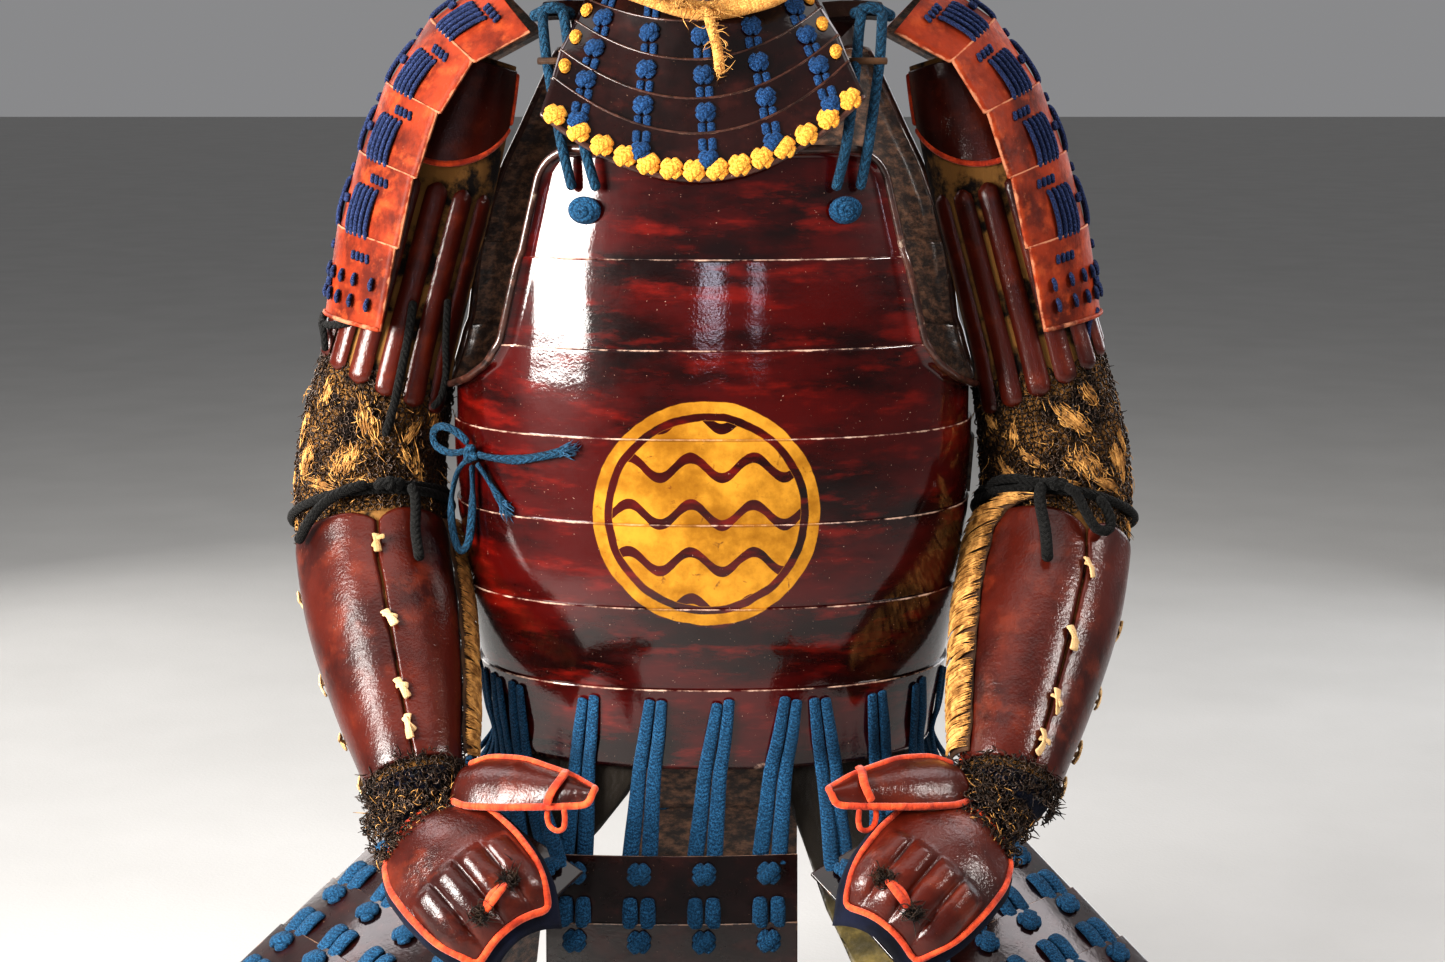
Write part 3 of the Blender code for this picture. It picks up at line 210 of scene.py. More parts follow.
# Free ends of the ties: name, side, radius, then place along the arm, angle and height off it
ARM_TIE_ENDS = (
    ("elbow_end_short_right", -1, 0.0038, (
        (6.92, -8.0, 0.0132), (7.1, 6.0, 0.015), (7.3, 18.0, 0.015), (7.55, 30.0, 0.0145),
        (7.75, 44.0, 0.0125))),
    ("elbow_end_long_right", -1, 0.0038, (
        (6.95, -34.0, 0.014), (7.25, -38.0, 0.015), (7.65, -40.0, 0.0135), (8.2, -41.0, 0.012),
        (8.8, -43.0, 0.0105))),
    ("elbow_end_long_left", 1, 0.0042, (
        (6.95, -17.0, 0.0145), (7.25, -20.0, 0.015), (7.65, -20.0, 0.0135), (8.2, -18.0, 0.012),
        (8.8, -15.0, 0.011))),
    ("elbow_loop_left", 1, 0.0038, (
        (6.96, -4.0, 0.0134), (7.2, 2.0, 0.015), (7.6, 8.0, 0.014), (7.85, 16.0, 0.013),
        (7.75, 25.0, 0.0135), (7.45, 24.0, 0.0145), (7.15, 16.0, 0.015))),
    ("arm_end_right", -1, 0.0032, (
        (3.3, -11.2, 0.0096), (3.7, -14.2, 0.01), (4.2, -15.2, 0.01), (4.7, -15.2, 0.0098),
        (5.2, -13.2, 0.0075))),
)
# The loop at the left elbow, in the same measures
ELBOW_LOOP = (
    (6.92, -16, 0.01), (6.75, -32, 0.0135), (6.72, -50, 0.0125), (6.9, -58, 0.01), (7.02, -44, 0.0105),
    (6.98, -22, 0.01))
# Cords over the right arm's splints: place along the arm, angle and height off it
SPLINT_CORDS = (
    ((3.72, 104.0, 0.006), (3.86, 84.0, 0.0092), (3.9, 62.0, 0.0098), (3.8, 40.0, 0.0094),
     (3.62, 22.0, 0.009)),
    ((3.88, 66.0, 0.012), (4.02, 56.0, 0.011), (4.2, 50.0, 0.0098)),
    ((3.2, -38.0, 0.0092), (3.7, -46.0, 0.0096), (4.1, -53.0, 0.0096), (4.45, -52.0, 0.0094),
     (4.62, -46.0, 0.008)),
)
# The bow at the cuirass's right side: name, radius, then angle round it, height, distance off it
SIDE_TIE_ENDS = (
    ("side_tie_loop_short", 0.0028, (
        (-60.1, -0.2954, 0.0085), (-63.5, -0.288, 0.013), (-68.0, -0.285, 0.0185),
        (-72.0, -0.29, 0.0215), (-72.0, -0.3, 0.02), (-67.0, -0.304, 0.014),
        (-61.3, -0.3013, 0.0085))),
    ("side_tie_loop_long", 0.003, (
        (-60.6, -0.3067, 0.0082), (-64.0, -0.317, 0.0118), (-67.5, -0.338, 0.014),
        (-68.5, -0.36, 0.014), (-66.0, -0.3745, 0.0125), (-62.5, -0.368, 0.0095),
        (-60.8, -0.347, 0.007), (-59.6, -0.326, 0.0065), (-58.7, -0.3103, 0.0078))),
    ("side_tie_end_short", 0.003, (
        (-56.6, -0.3084, 0.0074), (-54.0, -0.316, 0.0055), (-51.0, -0.326, 0.0044),
        (-47.5, -0.337, 0.004))),
    ("side_tie_end_long", 0.0034, (
        (-55.6, -0.3018, 0.0078), (-50.0, -0.303, 0.006), (-42.0, -0.302, 0.0056),
        (-35.0, -0.298, 0.0056), (-28.5, -0.293, 0.0057))),
)
SIDE_KNOT = (-58.5, -0.302, 0.0079)

# Skirt
STRAP_TOP, STRAP_MARGIN, BRAID_TOP_HALF, BRAID_FOOT_HALF, BRAID_HALF = -0.473, 0.0202, 0.0074, 0.0096, 0.012
SKIRT_LAMES, PANEL_CURVE = 5, 1.3
# Where a pair of braids rises out of a lame: how far down it, height off it
BRAID_RISE = ((0.029, 0.001), (0.033, 0.003), (0.04, 0.0034))
# name, azimuth, half width, x, y and z of the first lame's top, slope, roll, lame pitch, straps,
# shift and spread of the straps' tops, share of that shift where they pass the cuirass's foot
SKIRT_PANELS = (
    ("skirt_front", 0.0, 0.0885, -0.0287, -0.15, -0.577, 82.0, 0.0, 0.0475, 4, 0.013, 1.03, 0.43),
    ("skirt_front_left", 45.0, 0.083, 0.1325, -0.1305, -0.56, 29.5, 9.0, 0.05, 4, 0.0275, 0.97, 1.4),
    ("skirt_front_right", -50.0, 0.083, -0.15, -0.115, -0.562, 29.5, -9.0, 0.05, 4, -0.053, 0.58, 1.05),
    ("skirt_back_left", 117.0, 0.068, 0.156, 0.078, -0.58, 80.0, 0.0, 0.0475, 3, 0.0, 1.0, 0.5),
    ("skirt_back_right", -117.0, 0.068, -0.156, 0.078, -0.58, 80.0, 0.0, 0.0475, 3, 0.0, 1.0, 0.5),
    ("skirt_back", 180.0, 0.068, 0.0, 0.129, -0.58, 82.0, 0.0, 0.0475, 3, 0.0, 1.0, 0.5),
)

# The floor lies just below the lowest lame
FLOOR_GAP, FLOOR_SIZE = 0.002, 60.0
# name, place, aim, size, power, colour
LIGHTS = (
    ("left_softbox", (-1.16, -0.98, 0.0), (-0.1, -0.11, -0.17), (0.72, 0.6), 56, (1.0, 0.97, 0.93)),
    ("left_upper_softbox", (-1.33, -0.68, 0.6), (-0.08, -0.11, -0.03), (0.34, 0.4), 13, (1.0, 0.97, 0.93)),
    ("right_softbox", (1.48, -0.62, 0.46), (0.2, -0.08, -0.36), (0.6, 0.2), 15, (1.0, 0.96, 0.92)),
    ("overhead_softbox", (0.0, 0.3, 2.4), (0.0, 0.3, 0.0), (3.2, 3.2), 50, (1.0, 0.99, 0.97)),
    ("back_left_softbox", (-1.35, 1.75, 0.2), (0.0, 0.05, -0.3), (1.0, 1.2), 14, (1.0, 0.97, 0.94)),
    ("back_right_softbox", (1.45, 1.6, 0.15), (0.0, 0.05, -0.3), (1.0, 1.1), 10, (0.95, 0.97, 1.0)),
    ("left_rear_softbox", (-0.96, 0.45, 0.72), (-0.2, -0.18, -0.58), (0.55, 0.55), 5, (1.0, 0.93, 0.95)),
    ("right_rear_softbox", (0.98, 0.45, 0.72), (0.2, -0.18, -0.58), (0.55, 0.55), 4, (1.0, 0.93, 0.95)),
    ("front_left_strip", (-0.02, -2.53, -0.13), (0.0, -0.13, -0.195), (0.07, 0.36), 1.1, (0.8, 0.83, 1.0)),
    ("front_right_strip", (0.42, -2.49, -0.13), (0.03, -0.13, -0.195), (0.04, 0.34), 0.6, (0.8, 0.83, 1.0)),
)
# The roundel on the chest, and the waves in it
ROUNDEL_CENTRE, ROUNDEL_RADIUS, WAVE_LENGTH, WAVE_PITCH = (-0.004, -0.336), 0.079, 0.043, 0.033
# The camera's fall is in degrees, its focal length in pixels of the photograph's frame
CAMERA_PLACE, CAMERA_FALL, FOCAL_PIXELS, FRAME_WIDTH, SENSOR = (0.007, -1.83, -0.02), 9.8, 2500, 1445, 36


class Shade:
    """A material's nodes, written as calls that take values or sockets."""

    def __init__(self, name, **inputs):
        self.material = bpy.data.materials.new(name)
        self.material.use_nodes = True
        self.tree = self.material.node_tree
        self.shader = self.tree.nodes["Principled BSDF"]
        self.set(**inputs)

    def put(self, socket, value):
        if isinstance(value, bpy.types.NodeSocket):
            self.tree.links.new(value, socket)
        elif socket.type == "RGBA":
            socket.default_value = (*value, 1.0)[:4]
        else:
            socket.default_value = value

    def set(self, **inputs):
        for name, value in inputs.items():
            self.put(self.shader.inputs[name.replace("_", " ")], value)

    def make(self, kind, values=(), output=0, **settings):
        node = self.tree.nodes.new("ShaderNode" + kind)
        for name, value in settings.items():
            setattr(node, name, value)
        for key, value in values.items() if isinstance(values, dict) else enumerate(values):
            self.put(node.inputs[key], value)
        return node.outputs[output]

    def math(self, operation, *values):
        return self.make("Math", values, operation=operation)

    def mul(self, a, b):
        return self.math("MULTIPLY", a, b)

    def add(self, a, b):
        return self.math("ADD", a, b)

    def sub(self, a, b):
        return self.math("SUBTRACT", a, b)

    def axes(self, at):
        return self.make("SeparateXYZ", (at,)).node.outputs

    def place(self, output="Object"):
        return self.make("TexCoord", output=output)

    def stretched(self, stretch, at=None):
        return self.make("Mapping", {"Vector": at or self.place(), "Scale": stretch})

    def noise(self, scale, detail=4.0, at=None, rough=0.5):
        return self.make("TexNoise", {
            "Vector": at or self.place(), "Scale": scale, "Detail": detail, "Roughness": rough})

    def step(self, value, low, high, start=0.0, end=1.0):
        return self.make("MapRange", (value, low, high, start, end), interpolation_type="SMOOTHSTEP")

    def mix(self, factor, a, b, blend="MIX"):
        return self.make("Mix", {0: factor, 6: a, 7: b}, output=2, data_type="RGBA", blend_type=blend)

    def blend(self, factor, a, b):
        return self.make("Mix", {0: factor, 2: a, 3: b}, data_type="FLOAT")

    def wear(self):
        return self.make("Attribute", output=2, attribute_name="wear")

    def bump(self, height, distance, normal=None):
        values = {"Strength": 1.0, "Distance": distance, "Height": height}
        if normal:
            values["Normal"] = normal
        return self.make("Bump", values)


def lacquer(name, dark, deep, bright, worn, roughness, coat, clouds=(9.0, 2.2), grain=0.00005,
            waves=0.0011, wear_at=(0.8, 1.05), gilt=False, chips=0.0, peel=0.0, shine=0.2, haze=0.055):
    s = Shade(name, Coat_Roughness=haze, Coat_IOR=1.5, Specular_IOR_Level=shine)
    at = s.place()
    cloud = s.noise(clouds[0], 6.0, s.stretched((1, 1, clouds[1]), at), 0.62)
    colour = s.mix(s.step(cloud, 0.36, 0.62), dark, deep)
    blot = s.noise(clouds[0] * 2.3, 5.0, s.stretched((1, 1, clouds[1] * 1.2), at), 0.6)
    colour = s.mix(s.mul(s.step(blot, 0.5, 0.72), 0.75), colour, bright)
    fine = s.noise(240.0, 5.0, at, 0.6)
    speck = s.noise(70.0, 5.0, at, 0.7)
    dust = s.noise(620.0, 2.0, at)
    colour = s.mix(s.mul(s.step(dust, 0.735, 0.76), 0.6), colour, worn)
    # rubbed places take the worn colour; on the red cuirass's lame tops that is partly real wear and partly a
    # painted highlight along the seams
    edge = s.add(s.wear(), s.mul(s.sub(speck, 0.5), 1.5))
    rubbed = s.step(edge, *wear_at)
    if chips:
        rubbed = s.math("MAXIMUM", rubbed, s.mul(s.step(speck, 0.66, 0.72), chips))
    colour = s.mix(rubbed, colour, worn)
    rough = s.blend(rubbed, s.step(speck, 0.2, 0.8, roughness * 0.8, roughness * 1.25), 0.62)
    metal = 0.0
    if gilt:
        leaf, gold = gilding(s, at, speck, fine)
        colour = s.mix(leaf, colour, gold)
        rough = s.blend(leaf, rough, 0.36)
        metal = s.mul(leaf, 0.35)
        coat = s.blend(leaf, coat, 0.12)
    swell = s.noise(16.0, 2.0, at)
    normal = s.bump(swell, waves)
    normal = s.bump(speck, 0.00022, normal)
    normal = s.bump(fine, grain, normal)
    s.set(Base_Color=colour, Roughness=rough, Metallic=metal, Coat_Weight=coat, Normal=normal)
    coated = s.bump(swell, waves * 0.8)
    if peel:
        coated = s.bump(s.noise(120.0, 3.0, at), peel * 1.5, coated)
        coated = s.bump(s.noise(480.0, 3.0, at, 0.65), peel, coated)
    s.put(s.shader.inputs["Coat Normal"], coated)
    return s.material


def gilding(s, at, speck, fine):
    """Gold leaf in a roundel of waves, with its rubbed cracks; only on the cuirass's front."""
    axes = s.axes(at)
    x = s.sub(axes[0], ROUNDEL_CENTRE[0])
    z = s.sub(axes[2], ROUNDEL_CENTRE[1])
    wobble = s.mul(s.sub(s.noise(45.0, 3.0, at), 0.5), 0.0035)
    r = s.add(s.math("SQRT", s.add(s.mul(x, x), s.mul(z, z))), wobble)
    disc = s.step(r, ROUNDEL_RADIUS, ROUNDEL_RADIUS - 0.0008)
    groove = s.mul(s.step(r, ROUNDEL_RADIUS * 0.82, ROUNDEL_RADIUS * 0.83),
                    s.step(r, ROUNDEL_RADIUS * 0.9, ROUNDEL_RADIUS * 0.89))
    crest = s.mul(s.math("SINE", s.mul(x, 2 * math.pi / WAVE_LENGTH)), 0.007)
    height = s.add(s.add(z, crest), wobble)
    band = s.math("ABSOLUTE", s.sub(s.math("FRACT", s.math("DIVIDE", height, WAVE_PITCH)), 0.5))
    lines = s.mul(s.step(band, 0.375, 0.395), s.step(r, ROUNDEL_RADIUS * 0.83, ROUNDEL_RADIUS * 0.82))
    cracks = s.make("TexVoronoi", {"Vector": at, "Scale": 60.0}, feature="DISTANCE_TO_EDGE")
    rubbed = s.mul(s.step(cracks, 0.05, 0.01), s.step(speck, 0.56, 0.7))
    blotch = s.noise(30.0, 6.0, s.stretched((1, 1, 3), at), 0.7)
    rubbed = s.math("MAXIMUM", rubbed, s.step(blotch, 0.63, 0.69))
    seams = s.step(s.wear(), 0.35, 0.7)
    front = s.math("LESS_THAN", axes[1], 0.0)
    leaf = s.mul(disc, s.sub(1.0, s.math("MAXIMUM", groove, lines)))
    leaf = s.mul(leaf, s.sub(1.0, s.mul(rubbed, 0.75)))
    leaf = s.mul(leaf, s.sub(1.0, s.mul(seams, 0.5)))
    gold = s.mix(s.step(s.noise(26.0, 6.0, at, 0.65), 0.35, 0.7), (0.27, 0.11, 0.009), (0.62, 0.29, 0.032))
    return s.mul(leaf, front), gold


def braid(name, dark, light, pitch=0.003, strands=2.0, rough=0.85, deep=0.0005, twist=2.4, relief=0.55):
    """Braided silk: slanted strands that cross along a cord, whose UV holds metres along it. Its colour
    follows its relief: the light colour is a painted highlight on strand crowns and raised fibres, and the
    dark colour is painted shade in the grooves.
    """
    s = Shade(name, Roughness=rough, Sheen_Weight=0.04, Sheen_Roughness=0.5, Specular_IOR_Level=0.12)
    axes = s.axes(s.place("UV"))
    along = s.math("DIVIDE", axes[0], pitch)
    round_it = s.math("ABSOLUTE", s.sub(s.math("FRACT", s.mul(axes[1], strands)), 0.5))
    lean = s.mul(round_it, twist)
    strand = s.math("ABSOLUTE", s.math("SINE", s.mul(s.add(along, lean), math.pi)))
    thread = s.math("SINE", s.mul(s.sub(along, lean), 6.0 * math.pi))
    height = s.add(s.mul(strand, relief), s.mul(thread, 0.16))
    wool = s.noise(900.0, 3.0, None, 0.7)
    patch = s.noise(45.0, 5.0, None, 0.65)
    # painted shade and highlight: dark in the grooves between strands, light on their crowns
    colour = s.mix(s.step(height, 0.0, 0.75, 0.3, 1.0), dark, light)
    # painted glints on raised wool fibres, lifted to a brighter light colour; low fibres sunk to dark as
    # painted shade
    colour = s.mix(s.step(wool, 0.52, 0.62, 0.0, 0.75), colour, [min(c * 1.7 + 0.008, 0.95) for c in light])
    colour = s.mix(s.step(wool, 0.48, 0.4, 0.0, 0.8), colour, dark)
    colour = s.mix(s.step(patch, 0.38, 0.72, 0.0, 0.5), colour, [c * 0.45 for c in light])
    s.set(Base_Color=colour, Normal=s.bump(wool, 0.0007, s.bump(height, deep)))
    return s.material


def cloth(name, dark, light, scale=900.0, rough=0.92, folds=0.0, foot=None, sheen=0.3, patches=(0.35, 0.68)):
    s = Shade(name, Roughness=rough, Sheen_Weight=sheen, Sheen_Roughness=0.5, Specular_IOR_Level=0.2)
    at = s.place()
    wave = {"Vector": at, "Scale": scale, "Distortion": 1.2, "Detail": 1.0}
    warp = s.make("TexWave", {**wave, "Vector": s.stretched((1, 1, 0.4), at)})
    weft = s.make("TexWave", wave, bands_direction="Z")
    weave = s.mul(warp, weft)
    patch = s.noise(28.0, 6.0, at, 0.65)
    colour = s.mix(s.step(patch, *patches), dark, light)
    # foot darkens the cloth above its height to near-black: painted shade where the cloth hangs in under the
    # cuirass
    if foot:
        axes = s.axes(at)
        upper = s.step(s.add(axes[2], s.mul(patch, 0.03)), foot[0] - 0.01, foot[0] + 0.01)
        colour = s.mix(upper, colour, foot[1])
    colour = s.mix(s.mul(weave, 0.45), colour, dark)
    normal = s.bump(weave, 0.0002)
    if folds:
        normal = s.bump(s.noise(24.0, 4.0, s.stretched((1.0, 1.0, 0.45), at), 0.55), folds, normal)
    s.set(Base_Color=colour, Normal=normal)
    return s.material


def strand_silk(name, dark, light):
    s = Shade(name, Roughness=0.62, Sheen_Weight=0.03, Sheen_Roughness=0.5, Specular_IOR_Level=0.3)
    tone = s.noise(130.0, 4.0, None, 0.6)
    s.set(Base_Color=s.mix(s.step(tone, 0.35, 0.65), dark, light),
          Normal=s.bump(s.noise(2400.0, 2.0), 0.00005))
    return s.material


def metal(name, dark, light, rough, metallic, scale=180.0):
    s = Shade(name, Metallic=metallic)
    tone = s.noise(scale, 5.0, None, 0.65)
    s.set(Base_Color=s.mix(s.step(tone, 0.35, 0.68), dark, light),
          Roughness=s.step(tone, 0.3, 0.7, rough * 0.8, rough * 1.2),
          Normal=s.bump(tone, 0.00015))
    return s.material


def bound_edge(name, dark, light):
    """A narrow strip of cloth folded over an edge, with its small creases, whose hollows are painted darker
    (painted shade).
    """
    s = Shade(name, Roughness=0.8, Sheen_Weight=0.2, Sheen_Roughness=0.5, Specular_IOR_Level=0.3)
    axes = s.axes(s.place("UV"))
    crease = s.noise(1.0, 3.0, s.make("CombineXYZ", (s.mul(axes[0], 210.0), s.mul(axes[1], 1.2), 0.0)), 0.6)
    tone = s.noise(60.0, 4.0, None, 0.6)
    colour = s.mix(s.step(tone, 0.3, 0.7), light, dark)
    # painted shade: the creases' hollows are darkened
    colour = s.mix(s.step(crease, 0.52, 0.36, 0.0, 0.5), colour, dark)
    s.set(Base_Color=colour, Normal=s.bump(s.noise(1500.0, 2.0), 0.0001, s.bump(crease, 0.0018)))
    return s.material


def crinkled(name, dark, light):
    """The brown-black lacquer inside the plates. Its crinkle tops are painted a lighter brown, brightened to
    stand in for light that doesn't reach inside (painted highlight).
    """
    s = Shade(name, Coat_Weight=0.7, Coat_Roughness=0.22)
    ridge = s.noise(85.0, 6.0, s.stretched((1, 1, 1.8)), 0.7)
    s.set(Base_Color=s.mix(s.step(ridge, 0.4, 0.7), dark, light), Roughness=0.5,
          Normal=s.bump(ridge, 0.0024))
    return s.material


def make_materials():
    return {
        # the red's worn colour is partly real wear and partly a painted highlight along the cuirass's lame
        # seams
        "red": lacquer("red_lacquer", (0.0055, 0.0006, 0.0005), (0.046, 0.0015, 0.0011),
                       (0.14, 0.0052, 0.0024), (0.44, 0.29, 0.22), 0.34, 1.0,
                       clouds=(7.0, 3.2), gilt=True, waves=0.0009, wear_at=(0.8, 1.16), shine=0.08,
                       peel=0.00004),
        "russet": lacquer("russet_lacquer", (0.022, 0.0024, 0.0012), (0.062, 0.007, 0.0028),
                          (0.125, 0.0185, 0.0062), (0.3, 0.12, 0.06), 0.42, 0.62, clouds=(14.0, 1.0),
                          waves=0.0007, wear_at=(0.95, 1.25), shine=0.12, peel=0.0003, haze=0.12),
        "orange": lacquer("orange_lacquer", (0.07, 0.008, 0.003), (0.235, 0.028, 0.007),
                          (0.36, 0.059, 0.014), (0.4, 0.16, 0.085), 0.6, 0.06, clouds=(26.0, 1.0),
                          grain=0.0003, waves=0.0007, wear_at=(0.7, 1.0), chips=0.3, shine=0.12,
                          peel=0.0002, haze=0.3),
        "dark": lacquer("dark_lacquer", (0.0045, 0.0012, 0.001), (0.013, 0.0026, 0.002),
                        (0.032, 0.006, 0.004), (0.24, 0.14, 0.09), 0.3, 1.0, clouds=(18.0, 1.2),
                        waves=0.0006, shine=0.15, peel=0.00005, haze=0.08),
        "rim": lacquer("rim_lacquer", (0.014, 0.006, 0.0045), (0.05, 0.018, 0.012),
                       (0.1, 0.04, 0.026), (0.5, 0.4, 0.3), 0.34, 0.8, clouds=(60.0, 1.0),
                       waves=0.0004, wear_at=(0.72, 1.0), peel=0.00012, haze=0.14),
        # the inner lacquer's light brown is a painted highlight on the crinkle tops, brightened because
        # little light reaches inside the plates
        "inner": crinkled("inner_lacquer", (0.018, 0.0075, 0.0045), (0.24, 0.115, 0.06)),
        # each braid's dark and light are its colour in shade and in light: painted shade and painted
        # highlight
        "teal": braid("blue_braid", (0.0025, 0.013, 0.035), (0.017, 0.084, 0.17)),
        "chest": braid("chest_braid", (0.002, 0.011, 0.024), (0.015, 0.068, 0.125), pitch=0.0066,
                       strands=3.0, deep=0.0016, twist=2.0, relief=0.8),
        "knot": braid("knot_blue", (0.0025, 0.011, 0.038), (0.017, 0.064, 0.165)),
        "royal": braid("royal_braid", (0.004, 0.007, 0.024), (0.026, 0.043, 0.12)),
        "yellow": braid("yellow_braid", (0.52, 0.165, 0.015), (0.88, 0.39, 0.062), pitch=0.0034,
                        relief=0.7),
        "wrapped": braid("wrapped_cord", (0.46, 0.18, 0.04), (0.78, 0.37, 0.105),
                         pitch=0.008, strands=1.0, twist=0.9),
        "black": braid("black_cord", (0.001, 0.001, 0.001), (0.0075, 0.0072, 0.0066), pitch=0.0048,
                       deep=0.001, relief=0.8),
        "piping": bound_edge("orange_piping", (0.3, 0.02, 0.004), (0.83, 0.098, 0.022)),
        "sleeve": cloth("sleeve_cloth", (0.008, 0.005, 0.004), (0.26, 0.125, 0.034), 700.0, folds=0.004,
                        sheen=0.05, patches=(0.4, 0.53)),
        "indigo": cloth("indigo_cloth", (0.002, 0.0025, 0.006), (0.006, 0.009, 0.026), 800.0,
                        folds=0.002, sheen=0.03),
        # the olive cloth is painted near-black above z -0.6: painted shade under the cuirass, on the thigh
        # aprons' tops and the belt
        "olive": cloth("olive_cloth", (0.05, 0.038, 0.01), (0.26, 0.19, 0.055), 650.0, folds=0.009,
                       foot=(-0.6, (0.01, 0.006, 0.004))),
        "silk": strand_silk("yellow_silk", (0.21, 0.09, 0.018), (0.64, 0.34, 0.1)),
        "blue_silk": strand_silk("blue_threads", (0.004, 0.02, 0.045), (0.03, 0.11, 0.2)),
        "floss": strand_silk("dark_floss", (0.002, 0.0015, 0.001), (0.034, 0.016, 0.007)),
        "mail": metal("mail_iron", (0.004, 0.003, 0.003), (0.085, 0.048, 0.028), 0.36, 0.6, 900.0),
        "iron": metal("blackened_iron", (0.012, 0.01, 0.009), (0.11, 0.08, 0.06), 0.5, 0.8),
        "leather": cloth("cream_leather", (0.4, 0.24, 0.1), (0.76, 0.52, 0.27), 300.0, 0.75, sheen=0.05),
        "strap": cloth("brown_leather", (0.024, 0.011, 0.006), (0.095, 0.045, 0.02), 300.0, 0.6, sheen=0.03),
    }


class Piece:
    """Grids of points that become one mesh, with metres along cords in its UV and wear at its edges."""

    def __init__(self):
        self.points, self.faces, self.uvs, self.wears, self.count = [], [], [], [], 0

    def grid(self, points, closed=False, uv=None, wear=0.0):
        points = np.asarray(points, float)
        rows, columns = points.shape[:2]
        index = np.arange(rows * columns).reshape(rows, columns) + self.count
        if uv is None:
            uv = np.stack(np.meshgrid(np.arange(columns + closed), np.arange(rows)), -1) * 0.01
        if closed:
            index = np.concatenate((index, index[:, :1]), 1)
        corners = lambda a: np.stack((a[:-1, :-1], a[1:, :-1], a[1:, 1:], a[:-1, 1:]), 2)
        self.faces.append(corners(index).reshape(-1, 4))
        self.uvs.append(corners(uv).reshape(-1, 2))
        self.points.append(points.reshape(-1, 3))
        self.wears.append(np.broadcast_to(wear, (rows, columns)).reshape(-1))
        self.count += rows * columns
        return self

    def many(self, points):
        """Many equal grids at once, each closed across."""
        number, rows, columns = points.shape[:3]
        index = np.arange(number * rows * columns).reshape(number, rows, columns) + self.count
        index = np.concatenate((index, index[:, :, :1]), 2)
        quads = np.stack((index[:, :-1, :-1], index[:, 1:, :-1], index[:, 1:, 1:], index[:, :-1, 1:]), 3)
        self.faces.append(quads.reshape(-1, 4))
        self.uvs.append(np.zeros((quads.size, 2)))
        self.points.append(points.reshape(-1, 3))
        self.wears.append(np.zeros(number * rows * columns))
        self.count += number * rows * columns

    def tube(self, route, width, thick=None, face=None, sides=10, round_ends=True, square=1.0, swell=None):
        """A cord along a route; a flat one has its broad side towards face."""
        thick = thick or width
        pace = max(min(width, thick) * 1.1, 0.0012)
        route = resampled(np.asarray(route, float), pace, width if round_ends else 0)
        tangent = unit(np.gradient(route, axis=0))
        if face is None:
            face = np.zeros_like(route)
            normal = unit(np.cross(tangent[0], (0.31, 0.52, 0.79)))
            for i, along in enumerate(tangent):
                normal = unit(normal - along * normal.dot(along))
                face[i] = normal
        else:
            single = np.ndim(face) == 1
            face = np.broadcast_to(face, route.shape) if single else stretched_to(face, len(route))
        lateral = unit(np.cross(tangent, face))
        normal = np.cross(lateral, tangent)
        run = run_along(route)
        size = np.ones(len(route))
        if round_ends:
            inwards = np.clip(np.minimum(run, run[-1] - run) / (0.9 * thick), 0, 1)
            size = np.sqrt(np.maximum(1 - (1 - inwards) ** 2, 0.0004))
        if swell is not None:
            size = size * np.interp(run / run[-1], np.linspace(0, 1, len(swell)), swell)
        turn = np.linspace(0, 2 * math.pi, sides, endpoint=False)
        across = np.sign(np.cos(turn)) * np.abs(np.cos(turn)) ** square
        up = np.sign(np.sin(turn)) * np.abs(np.sin(turn)) ** square
        ring = (
            route[:, None]
            + lateral[:, None] * (across[None] * width * size[:, None])[..., None]
            + normal[:, None] * (up[None] * thick * size[:, None])[..., None]
        )
        uv = np.stack(np.meshgrid(np.linspace(0, 1, sides + 1), run)[::-1], -1)
        return self.grid(ring, True, uv)

    def worn(self, value):
        self.wears = [np.full(self.count, value)]

    def make(self, name, material, own=False, slot=None, wall=0.0, inner=None, turn=None, sharp=None):
        points = turned(np.concatenate(self.points), turn)
        mesh = bpy.data.meshes.new(name)
        mesh.from_pydata(points.tolist(), [], np.concatenate(self.faces).tolist())
        mesh.uv_layers.new(name="UVMap").data.foreach_set("uv", np.concatenate(self.uvs).ravel())
        mesh.attributes.new("wear", "FLOAT", "POINT").data.foreach_set(
            "value", np.concatenate(self.wears).astype(np.float32))
        mesh.shade_smooth()
        if sharp:
            mesh.set_sharp_from_angle(angle=math.radians(sharp))
        mesh.materials.append(material)
        made = bpy.data.objects.new(name, mesh)
        bpy.context.scene.collection.objects.link(made)
        if inner:
            mesh.materials.append(inner)
        if wall:
            solid = made.modifiers.new("wall", "SOLIDIFY")
            solid.thickness, solid.offset = wall, -1.0
            solid.material_offset = 1 if inner else 0
        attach(made, "root")
        if own:
            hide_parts(name)
        return made


def unit(vectors):
    vectors = np.asarray(vectors, float)
    return vectors / np.maximum(np.linalg.norm(vectors, axis=-1, keepdims=True), 1e-12)


def run_along(route):
    """Metres from a route's start to each of its points."""
    return np.concatenate(((0,), np.cumsum(np.linalg.norm(np.diff(route, axis=0), axis=1))))


def turned(points, turn):
    return points if turn is None else points @ np.array(turn.to_3x3()).T + np.array(turn.translation)


def facing(points, side):
    """Columns in the order that makes the faces look outward on this side."""
    return points if side > 0 else points[:, ::-1]


def row_at(table, place):
    """The columns of a table whose rows are numbered 0, 1, 2 and so on, at a place between them."""
    table = np.array(table)
    return (np.interp(place, np.arange(len(table)), column) for column in table.T)


def recoat(material, *names):
    """A node keeps its own mesh and gets this material."""
    for name in names:
        NODES[name].data.materials.clear()
        NODES[name].data.materials.append(material)


